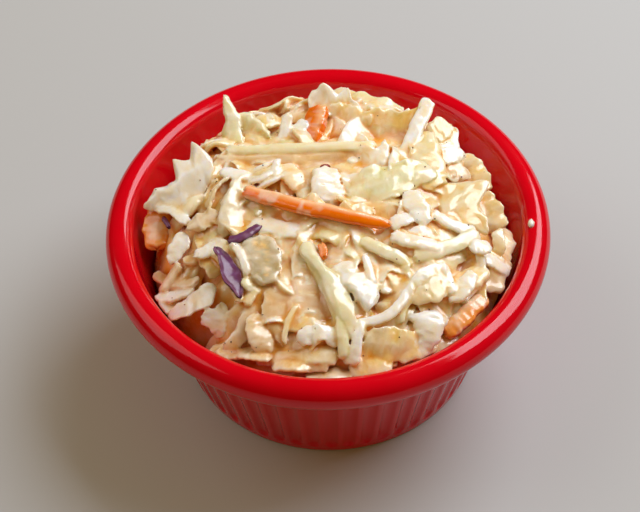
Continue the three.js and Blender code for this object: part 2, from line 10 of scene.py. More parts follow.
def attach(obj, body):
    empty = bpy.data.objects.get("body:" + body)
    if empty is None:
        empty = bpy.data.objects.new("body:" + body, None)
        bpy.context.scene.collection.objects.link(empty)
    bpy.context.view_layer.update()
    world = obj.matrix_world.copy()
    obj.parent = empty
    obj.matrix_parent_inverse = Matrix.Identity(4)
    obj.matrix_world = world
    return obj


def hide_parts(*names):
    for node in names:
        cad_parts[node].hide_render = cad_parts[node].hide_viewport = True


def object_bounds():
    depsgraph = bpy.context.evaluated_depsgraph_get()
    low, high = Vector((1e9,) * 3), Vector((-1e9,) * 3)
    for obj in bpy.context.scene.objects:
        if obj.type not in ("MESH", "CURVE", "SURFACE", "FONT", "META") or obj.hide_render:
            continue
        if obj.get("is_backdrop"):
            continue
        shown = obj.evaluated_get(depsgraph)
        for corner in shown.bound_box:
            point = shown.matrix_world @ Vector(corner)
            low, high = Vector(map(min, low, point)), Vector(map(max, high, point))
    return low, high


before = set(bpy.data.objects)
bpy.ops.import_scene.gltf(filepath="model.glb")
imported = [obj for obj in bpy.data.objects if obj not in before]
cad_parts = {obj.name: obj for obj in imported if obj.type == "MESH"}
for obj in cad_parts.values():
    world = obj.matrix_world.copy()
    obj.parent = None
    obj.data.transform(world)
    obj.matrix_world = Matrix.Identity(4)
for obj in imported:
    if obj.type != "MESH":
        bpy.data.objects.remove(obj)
cadLow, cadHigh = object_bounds()
print("frame loaded, nodes", sorted(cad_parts))

mm = 0.001
fullTurn = 2 * np.pi
goldenAngle = 137.508  # degrees


# mesh and node helpers

def unit(vectors):
    return vectors / np.maximum(np.linalg.norm(vectors, axis=-1, keepdims=True), 1e-9)


def smoothStep(x):
    # 0 below 0, 1 above 1, and 3x^2 - 2x^3 between
    x = np.clip(x, 0, 1)
    return x * x * (3 - 2 * x)


def blend(first, second, share):
    return first + (second - first) * share


def meshOf(name, shape):
    # points in millimetres and blocks of faces, as a mesh in metres
    mesh = bpy.data.meshes.new(name)
    faces = [face for block in shape["faces"] for face in block.tolist()]
    mesh.from_pydata((shape["points"] * mm).tolist(), [], faces)
    return mesh


def wrapFaces(rows, columns):
    # quads of a grid closed round its columns, and fans to a pole before the first row and one after the last
    at = np.arange(rows * columns).reshape(rows, columns)
    beside = np.roll(at, -1, 1)
    quads = np.stack([at[:-1], beside[:-1], beside[1:], at[1:]], -1).reshape(-1, 4)
    before, after = rows * columns, rows * columns + 1
    fans = np.vstack([np.column_stack([np.full(columns, before), beside[0], at[0]]),
                      np.column_stack([np.full(columns, after), at[-1], beside[-1]])])
    return [quads, fans]


def flipped(faces):
    # the same faces with the other side out, from the same first corner
    return np.roll(faces[:, ::-1], 1, 1)


def paint(mesh, tint):
    # a colour for each point, read by the finish
    colour = mesh.color_attributes.new("tint", "FLOAT_COLOR", "POINT")
    opaque = np.column_stack([tint, np.ones(len(tint))])
    colour.data.foreach_set("color", opaque.astype(np.float32).ravel())


def addPiece(name, mesh, material, slot, node):
    mesh.polygons.foreach_set("use_smooth", np.ones(len(mesh.polygons), bool))
    mesh.materials.append(material)
    mesh.update()
    piece = bpy.data.objects.new(name, mesh)
    bpy.context.scene.collection.objects.link(piece)
    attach(piece, "root")
    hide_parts(node)
    print("piece", name, len(mesh.loops) - 2 * len(mesh.polygons), "triangles")


def newMaterial(name, settings):
    material = bpy.data.materials.new(name)
    material.use_nodes = True
    shader = material.node_tree.nodes["Principled BSDF"]
    for socket, value in settings.items():
        shader.inputs[socket].default_value = value
    return material, material.node_tree, shader


def noiseNode(tree, scale, detail):
    noise = tree.nodes.new("ShaderNodeTexNoise")
    noise.inputs["Scale"].default_value = scale
    noise.inputs["Detail"].default_value = detail
    place = tree.nodes.new("ShaderNodeTexCoord")
    tree.links.new(place.outputs["Object"], noise.inputs["Vector"])
    return noise.outputs["Fac"]


def rangeNode(tree, source, fromLow, fromHigh, toLow, toHigh):
    spread = tree.nodes.new("ShaderNodeMapRange")
    spread.inputs["From Min"].default_value = fromLow
    spread.inputs["From Max"].default_value = fromHigh
    spread.inputs["To Min"].default_value = toLow
    spread.inputs["To Max"].default_value = toHigh
    tree.links.new(source, spread.inputs["Value"])
    return spread.outputs["Result"]


def mixColour(tree, how, share, first, second):
    # share is an output, first and second are outputs or colours
    mix = tree.nodes.new("ShaderNodeMix")
    mix.data_type = "RGBA"
    mix.blend_type = how
    tree.links.new(share, mix.inputs[0])
    for socket, value in ((mix.inputs[6], first), (mix.inputs[7], second)):
        if isinstance(value, bpy.types.NodeSocket):
            tree.links.new(value, socket)
        else:
            socket.default_value = (*value, 1)
    return mix.outputs[2]


def addBump(tree, shader, layers):
    # layers: scale and detail of the noise, strength, and depth in millimetres, each over the one before
    below = None
    for scale, detail, strength, depth in layers:
        bump = tree.nodes.new("ShaderNodeBump")
        bump.inputs["Strength"].default_value = strength
        bump.inputs["Distance"].default_value = depth * mm
        tree.links.new(noiseNode(tree, scale, detail), bump.inputs["Height"])
        if below is not None:
            tree.links.new(below, bump.inputs["Normal"])
        below = bump.outputs["Normal"]
    tree.links.new(below, shader.inputs["Normal"])


# camera, floor and light

view = {
    "lens": 101.25,
    "sensor": 36.0,
    "nearest": 0.01,  # metres
    "aim": (-1.726, 0.0, 25.065),
    "distance": 367.85,
    "elevation": 49.289,  # degrees
    "azimuth": -0.405,
    "roll": -1.88,
}

studio = {
    "floorHalf": 3.0,  # metres
    "floorColour": (0.47, 0.49, 0.51),
    "floorRoughness": 0.8,
    "skyColour": (1.0, 0.66, 0.22),
    "skyStrength": 0.32,
    "lights": (
        # name, place in metres, width and height in metres, watts, colour
        ("window", (0.36, 0.24, 0.54), 0.55, 0.42, 4.8, (0.95, 0.985, 1.06)),
        ("fill", (-0.50, 0.10, 0.55), 0.5, 0.5, 1.1, (1.0, 0.99, 0.97)),
    ),
    "aim": (0.0, 0.0, 0.035),
}


def addCamera():
    elevation, azimuth, roll = np.radians([view["elevation"], view["azimuth"], view["roll"]])
    level = np.cos(elevation)
    forward = np.array([np.sin(azimuth) * level, np.cos(azimuth) * level, -np.sin(elevation)])
    right = np.array([np.cos(azimuth), -np.sin(azimuth), 0])
    up = np.cross(right, forward)
    turned = np.eye(4)
    turned[:3, 0] = right * np.cos(roll) + up * np.sin(roll)
    turned[:3, 1] = up * np.cos(roll) - right * np.sin(roll)
    turned[:3, 2] = -forward
    turned[:3, 3] = (np.array(view["aim"]) - forward * view["distance"]) * mm
    data = bpy.data.cameras.new("camera")
    data.lens = view["lens"]
    data.sensor_width = view["sensor"]
    data.clip_start = view["nearest"]
    camera = bpy.data.objects.new("camera", data)
    bpy.context.scene.collection.objects.link(camera)
    camera.matrix_world = Matrix(turned.tolist())
    bpy.context.scene.camera = camera


def addStudio():
    scene = bpy.context.scene
    scene.view_settings.view_transform = "Standard"
    world = bpy.data.worlds.new("studio")
    world.use_nodes = True
    sky = world.node_tree.nodes["Background"]
    sky.inputs["Color"].default_value = (*studio["skyColour"], 1)
    sky.inputs["Strength"].default_value = studio["skyStrength"]
    scene.world = world
    world.cycles_visibility.glossy = False  # keeps the sky out of the gloss
    for name, place, width, height, watts, colour in studio["lights"]:
        data = bpy.data.lights.new(name, "AREA")
        data.shape = "RECTANGLE"
        data.size = width
        data.size_y = height
        data.energy = watts
        data.color = colour
        light = bpy.data.objects.new(name, data)
        scene.collection.objects.link(light)
        light.location = place
        light.rotation_euler = (Vector(studio["aim"]) - Vector(place)).to_track_quat("-Z", "Y").to_euler()
    half = studio["floorHalf"]
    corners = [(-half, -half, 0), (half, -half, 0), (half, half, 0), (-half, half, 0)]
    mesh = bpy.data.meshes.new("floor")
    mesh.from_pydata(corners, [], [(0, 1, 2, 3)])
    floor = bpy.data.objects.new("floor", mesh)
    scene.collection.objects.link(floor)
    paper = {"Base Color": (*studio["floorColour"], 1), "Roughness": studio["floorRoughness"]}
    mesh.materials.append(newMaterial("palePaper", paper)[0])
    floor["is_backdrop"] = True


addCamera()
addStudio()
print("camera, floor and lights placed")


# ramekin: a profile turned about Z, with round-ended grooves sunk into the wall

ramekin = {
    "height": 37.0,
    "rimRadius": 44.5,
    "lipRound": 3.0,
    "lipUnder": -60.0,  # degrees, where the lip's round edge meets its underside
    "innerRadius": 38.8,
    "innerRound": 2.6,
    "cove": (38.4, 29.2),
    "wallTop": (37.4, 26.5),
    "baseRadius": 31.0,
    "footRound": 0.7,
    "floor": (27.5, 4.5),
    "floorCorner": 2.2,
    "innerFlare": 0.3,  # gain in radius for each millimetre of height
    "flutes": 56,
    "fluteHalf": 0.37,  # half a groove's width as a share of the pitch
    "fluteDepth": 0.62,
    "fluteEnds": (2.0, 25.0),
    "fluteEndRound": 2.2,
    "flutePower": 0.8,  # under 1 makes a groove's edges steeper
    "fluteTurn": -0.8,  # degrees from the front to the nearest groove
    "columnsPerFlute": 12,
    "outsideRows": (3, 5, 60),  # rows of points on the base, the foot and the wall
}


def innerRadius(z):
    # inner wall's radius at a height, straight up to the lip's inner round
    top = ramekin["height"] - ramekin["innerRound"]
    return ramekin["innerRadius"] - (top - np.minimum(z, top)) * ramekin["innerFlare"]


def arc(x, z, radius, fromAngle, toAngle, count):
    # points on a circle between two angles
    angle = np.radians(np.linspace(fromAngle, toAngle, count))
    return np.column_stack([x + radius * np.cos(angle), z + radius * np.sin(angle)])


def line(start, end, count):
    # points from start to end, both left to the neighbours
    share = np.linspace(0, 1, count + 2)[1:-1, None]
    return blend(np.array(start, float), np.array(end, float), share)


def ramekinProfile():
    # radius and height from the base's middle, out and up round the lip, and in to the floor's middle
    r = ramekin
    baseRows, footRows, wallRows = r["outsideRows"]
    top, foot, lip, inner = r["height"], r["footRound"], r["lipRound"], r["innerRound"]
    outer = arc(r["rimRadius"] - lip, top - lip, lip, r["lipUnder"], 90, 22)
    under = np.array([r["wallTop"], r["cove"], outer[0]])
    share = np.linspace(0, 1, 12)[1:-1, None]  # the hollow under the lip, a parabola steered by the cove
    hollow = (1 - share) ** 2 * under[0] + 2 * share * (1 - share) * under[1] + share ** 2 * under[2]
    corner = r["floor"][1] + r["floorCorner"]
    return np.vstack([
        line((0, 0), (r["baseRadius"] - foot, 0), baseRows),
        arc(r["baseRadius"] - foot, foot, foot, -90, 0, footRows),
        line((r["baseRadius"], foot), r["wallTop"], wallRows),
        [r["wallTop"]],
        hollow,
        outer,
        line(outer[-1], (r["innerRadius"] + inner, top), 3),
        arc(r["innerRadius"] + inner, top - inner, inner, 90, 180, 10),
        line((r["innerRadius"], top - inner), (innerRadius(corner), corner), 8),
        [(innerRadius(corner), corner), r["floor"]],
        line(r["floor"], (0, r["floor"][1]), 3),
    ])


def ramekinShape():
    # radius less depth * (1 - across^2 - end^2): across is 1 at a groove's edge, end is 1 at its tip
    profile = ramekinProfile()
    columns = ramekin["flutes"] * ramekin["columnsPerFlute"]
    angle = np.arange(columns) / columns * fullTurn
    front = np.radians(ramekin["fluteTurn"] - 90)
    across = ((angle - front) / fullTurn * ramekin["flutes"] + 0.5) % 1 - 0.5
    low, high = ramekin["fluteEnds"]
    height = profile[:, 1]
    inset = np.minimum(height - low, high - height) / ramekin["fluteEndRound"]
    end = np.clip(1 - inset, 0, None)
    groove = 1 - (across[None] / ramekin["fluteHalf"]) ** 2 - end[:, None] ** 2
    groove = np.clip(groove, 0, None) ** ramekin["flutePower"]
    outside = np.arange(len(profile)) <= sum(ramekin["outsideRows"])
    radius = profile[:, :1] - ramekin["fluteDepth"] * groove * outside[:, None]
    heights = np.repeat(height[:, None], columns, 1)
    points = np.stack([radius * np.cos(angle), radius * np.sin(angle), heights], -1)
    poles = [(0, 0, 0), (0, 0, ramekin["floor"][1])]
    return {"points": np.vstack([points.reshape(-1, 3), poles]), "faces": wrapFaces(len(profile), columns)}


melamine = {
    "settings": {
        "Base Color": (0.60, 0.0012, 0.008, 1),
        "Roughness": 0.2,
        "Specular IOR Level": 0.3,
        "Coat Weight": 0.15,
        "Coat Roughness": 0.08,
    },
    "cloud": (60, 4),  # scale and detail of the noise
    "cloudRange": (0.3, 0.7),
    "cloudTints": ((0.58, 0.001, 0.007), (0.66, 0.0016, 0.010)),
    "film": (190, 5),
    "filmRange": (0.35, 0.7),
    "roughness": (0.07, 0.15),
    "bumps": ((420, 2, 0.12, 0.06), (2600, 2, 0.05, 0.02)),
}


def ramekinGloss():
    # faint clouds in the red, and a film that makes the gloss uneven
    material, tree, shader = newMaterial("redMelamine", melamine["settings"])
    cloud = rangeNode(tree, noiseNode(tree, *melamine["cloud"]), *melamine["cloudRange"], 0, 1)
    tree.links.new(mixColour(tree, "MIX", cloud, *melamine["cloudTints"]), shader.inputs["Base Color"])
    film = noiseNode(tree, *melamine["film"])
    gloss = rangeNode(tree, film, *melamine["filmRange"], *melamine["roughness"])
    tree.links.new(gloss, shader.inputs["Roughness"])
    addBump(tree, shader, melamine["bumps"])
    return material


addPiece("ramekin_body", meshOf("ramekin_body", ramekinShape()), ramekinGloss(), "ramekin_red", "ramekin")


# heap: the dome that the shreds lie on

heap = {
    "crown": 42.3,
    "lean": 0.08,  # rise of the crown for each millimetre towards the back
    "reach": 36.0,
    "steepness": 8,
    "edge": (27.4, 0.75, 3.2, 1.6),  # wall line's mean, rise to the right, rise to the front, twofold wave
    "dip": (-133.0, 12.0, 6.0),  # hollow at the wall: direction and half-width in degrees, depth
    "wallGap": 0.45,
}


def heapHeight(x, y):
    # a flat-topped dome that falls to an uneven line on the inner wall
    angle = np.arctan2(y, x)
    reach = np.minimum(np.hypot(x, y) / heap["reach"], 1)
    mean, right, front, twofold = heap["edge"]
    wallLine = mean + right * np.cos(angle) - front * np.sin(angle) - twofold * np.cos(2 * angle)
    towards, spread, depth = heap["dip"]
    aside = (np.degrees(angle) - towards + 180) % 360 - 180
    wallLine = wallLine - depth * np.exp(-(aside / spread) ** 2)
    crown = heap["crown"] + heap["lean"] * y
    return crown - (crown - wallLine) * reach ** heap["steepness"]


def clearOfWall(points):
    # points drawn in towards the axis where they would cross the inner wall
    limit = innerRadius(points[..., 2]) - heap["wallGap"]
    radius = np.maximum(np.hypot(points[..., 0], points[..., 1]), 1e-6)
    drawn = np.minimum(1, limit / radius)
    return points * np.stack([drawn, drawn, np.ones_like(drawn)], -1)


# shreds: a flat section with rounded edges, carried along the parabola through three points

tints = {
    # colour of the upward face, then of the edges and the under face: partly dressing lying on top, partly
    # painted shade on the sides and underneath
    "white": ((0.97, 0.95, 0.92), (0.93, 0.71, 0.31)),
    "cream": ((0.91, 0.69, 0.31), (0.87, 0.52, 0.09)),
    # butter and tan are darker copies of the cabbage, given mostly to leaves that lie in shade: partly their
    # own brownish colour, partly painted shade
    "butter": ((0.90, 0.66, 0.26), (0.84, 0.48, 0.07)),
    "green": ((0.84, 0.80, 0.47), (0.72, 0.62, 0.17)),
    "glass": ((0.50, 0.43, 0.24), (0.50, 0.37, 0.12)),
    "tan": ((0.79, 0.54, 0.25), (0.65, 0.38, 0.09)),
    "pearl": ((0.88, 0.77, 0.55), (0.78, 0.57, 0.24)),
    "carrot": ((0.98, 0.70, 0.44), (0.93, 0.21, 0.0)),
    "paleCarrot": ((0.97, 0.72, 0.50), (0.92, 0.38, 0.08)),
    "wine": ((0.30, 0.03, 0.03), (0.20, 0.015, 0.015)),
    "purple": ((0.16, 0.055, 0.16), (0.04, 0.009, 0.034)),
}

shredForm = {
    "waves": ((1.3, 0.45), (2.9, 0.3), (5.3, 0.22), (8.7, 0.14)),  # cycles along a shred, and their sizes
    "crowding": 0.5,  # share of the steps' spacing that is closer towards the ends
    "leastHalf": 0.25,
    "endRound": (0.7, 0.2),  # length that is rounded off at an end: the most, and as a share of the width
    "endLeast": 0.02,
    "endThinning": 0.6,
    "leastWander": 2,  # width below which an edge wanders no less
    "swell": 0.1,  # share by which the thickness comes and goes
    "wedge": 0.35,  # most by which one edge is thicker and the other thinner
    "edgeBulk": 0.62,  # thickness at the edges against the middle
    "edgeRates": (1.0, 1.2),  # waves along the right edge and the left
    "rufflePower": 1.6,
    "foldWidth": 8,  # width above which folds and streaks grow no more
    "folds": (0.6, 2, 0.022),  # lengthwise folds: turns for each millimetre of width, wander, height
    "sway": (0.07, 5),  # share of the width, and the width above which it grows no more
    "fray": (5, 5),  # turns across an end, and how fast they fade away from it
    "dent": 0.03,
    "dentRates": (2.3, 2.0, 2.6),
    "dentShift": (1.1, 0, 0),
    "edgeFacing": 0.6,
    "shade": 0.03,
    "streaks": (2.2, 3, 0.8),  # lengthwise streaks: turns for each millimetre of width, wander, sharpness
    "streakTint": (0.97, 0.87, 0.68),
}


def shred(start, by, end, width, thick, roll=0, tint="cream", tips=(0.8, 0.8), left=None, right=None,
          droop=0, ruffle=0, waves=2, twist=0, rough=0.035, fray=0.4):
    # roll, in degrees, raises the right-hand edge as seen along the shred, and twist is added from end to end
    # left and right are (share along, width) pairs where the outline isn't a plain strip's
    # droop lowers both edges, ruffle is the height of the waves along them, fray the raggedness of the ends
    return locals()


def waveSum(phases, share):
    # four sine waves along each shred, from long and high to short and low
    cycles, sizes = np.array(shredForm["waves"]).T
    return (sizes[:, None] * np.sin(fullTurn * cycles[:, None] * share + phases[..., None])).sum(-2)


def edgeWidth(row, side, share):
    # from the pairs if there are any, or else fullest in the middle and narrowed to the tips
    if row[side]:
        places, sizes = zip(*row[side])
        return np.interp(share, places, sizes)
    tip = blend(row["tips"][0], row["tips"][1], share)
    return row["width"] / 2 * (tip + (1 - tip) * np.sqrt(np.sin(np.pi * share)))


def carryShreds(rows, steps, loop, seed, square=0.36, crisp=0.75, level=0.0):
    # path: start, by and end joined by (1 - t)^2 start + 2 t (1 - t) handle + t^2 end
    form = shredForm
    draw = np.random.default_rng(seed)
    count = len(rows)
    column = lambda key: np.array([row[key] for row in rows], float)
    each = lambda values: values[:, None, None]
    start, by, end = (column(key)[:, None] for key in ("start", "by", "end"))
    even = np.linspace(0, 1, steps)
    share = blend(even, (1 - np.cos(np.pi * even)) / 2, form["crowding"])
    t = share[None, :, None]
    handle = 2 * by - (start + end) / 2
    path = (1 - t) ** 2 * start + 2 * t * (1 - t) * handle + t ** 2 * end
    along = unit(2 * (1 - t) * (handle - start) + 2 * t * (end - handle))
    length = np.linalg.norm(np.diff(path, axis=1), axis=-1).sum(1)
    side = unit(np.cross(along, (0, 0, 1)))
    upward = np.cross(side, along)
    roll = np.radians(column("roll")[:, None] + column("twist")[:, None] * (share - 0.5))[..., None]
    across = side * np.cos(roll) + upward * np.sin(roll)
    normal = upward * np.cos(roll) - side * np.sin(roll)

    # outline: the two edges wander by themselves, and the ends are rounded off
    width, thick = column("width"), column("thick")
    phases = draw.uniform(0, fullTurn, (6, count, len(form["waves"])))
    wander = (column("rough") * np.maximum(width, form["leastWander"]))[:, None]
    left, right = (np.array([edgeWidth(row, edge, share) for row in rows]) + wander * waveSum(phase, share)
                   for edge, phase in (("left", phases[0]), ("right", phases[1])))
    mostRound, roundShare = form["endRound"]
    endRound = np.minimum(mostRound, roundShare * width)[:, None]
    inset = np.clip(np.minimum(share, 1 - share) * length[:, None] / endRound, 0, 1)
    rounded = np.sqrt(np.clip(1 - (1 - inset) ** 2, form["endLeast"], 1))
    left, right = (np.maximum(edge, form["leastHalf"]) * rounded for edge in (left, right))

    # section: s runs across from -1 to 1, e from the under face at -1 to the upper at 1
    turn = np.arange(loop) / loop * fullTurn
    s, e = (np.sign(wave) * np.abs(wave) ** square for wave in (np.cos(turn), np.sin(turn)))
    reach = s * np.where(s > 0, right[..., None], left[..., None])
    swell = 1 + form["swell"] * waveSum(phases[2], share)
    wedge = 1 + each(draw.uniform(-form["wedge"], form["wedge"], count)) * s
    bulk = each(thick / 2) * swell[..., None] * wedge * blend(form["edgeBulk"], 1, 1 - s * s)
    bulk = bulk * rounded[..., None] ** form["endThinning"]
    tilt = fullTurn * each(column("waves")) * share[:, None]
    rates = enumerate(form["edgeRates"])
    rightWave, leftWave = (np.sin(rate * tilt + each(phases[3][:, i])) for i, rate in rates)
    ruffle = each(column("ruffle")) * np.abs(s) ** form["rufflePower"] * np.where(s > 0, rightWave, leftWave)
    wide = np.minimum(width, form["foldWidth"])
    foldRate, foldWander, foldHeight = form["folds"]
    drift = foldWander * waveSum(phases[5], share) + phases[2][:, :1]
    folds = each(foldHeight * wide) * np.sin(each(foldRate * wide) * s + drift[..., None])
    lift = e * bulk - each(column("droop")) * s * s + ruffle + folds
    swayShare, swayWidth = form["sway"]
    sway = swayShare * np.minimum(width, swayWidth)[:, None] * waveSum(phases[4], share)
    frayRate, frayFade = form["fray"]
    fray = each(column("fray")) * np.sin(frayRate * s + each(phases[5][:, 0]))
    ragged = fray * (2 * share - 1)[:, None] ** frayFade

    middle = path + across * sway[..., None]
    points = middle[:, :, None] + across[:, :, None] * reach[..., None] + normal[:, :, None] * lift[..., None]
    points = points + along[:, :, None] * ragged[..., None]
    dent = form["dent"] * np.sin(points * form["dentRates"] + form["dentShift"]).prod(-1)
    points = clearOfWall(points + normal[:, :, None] * dent[..., None])

    # colour: the upward face takes the first colour of its tint, the edges and the under face the second,
    # partly as dressing lies on top and partly as painted shade
    facing = normal[..., 2:3] * e + across[..., 2:3] * s * form["edgeFacing"]
    top = smoothStep(0.5 + crisp * (facing - level))[..., None]
    pair = np.array([tints[row["tint"]] for row in rows])[:, :, None, None]
    tint = blend(pair[:, 1], pair[:, 0], top) * draw.normal(1, form["shade"], (count, 1, 1, 1))
    streakRate, streakWander, sharpness = form["streaks"]
    drift = streakWander * waveSum(phases[3], share)
    streak = smoothStep(0.5 - sharpness * np.sin(each(streakRate * wide) * s + drift[..., None]))
    tint = tint * blend(np.ones(3), np.array(form["streakTint"]), streak[..., None])

    # each shred is a tube with a pole at each end
    poles = lambda body: body[:, [0, -1]].mean(2)
    withPoles = lambda body: np.concatenate([body.reshape(count, -1, 3), poles(body)], 1).reshape(-1, 3)
    base = each(np.arange(count) * (steps * loop + 2))
    faces = [(flipped(block) + base).reshape(-1, block.shape[1]) for block in wrapFaces(steps, loop)]
    return {"points": withPoles(points), "faces": faces, "tint": withPoles(tint)}


# shreds that show, in millimetres

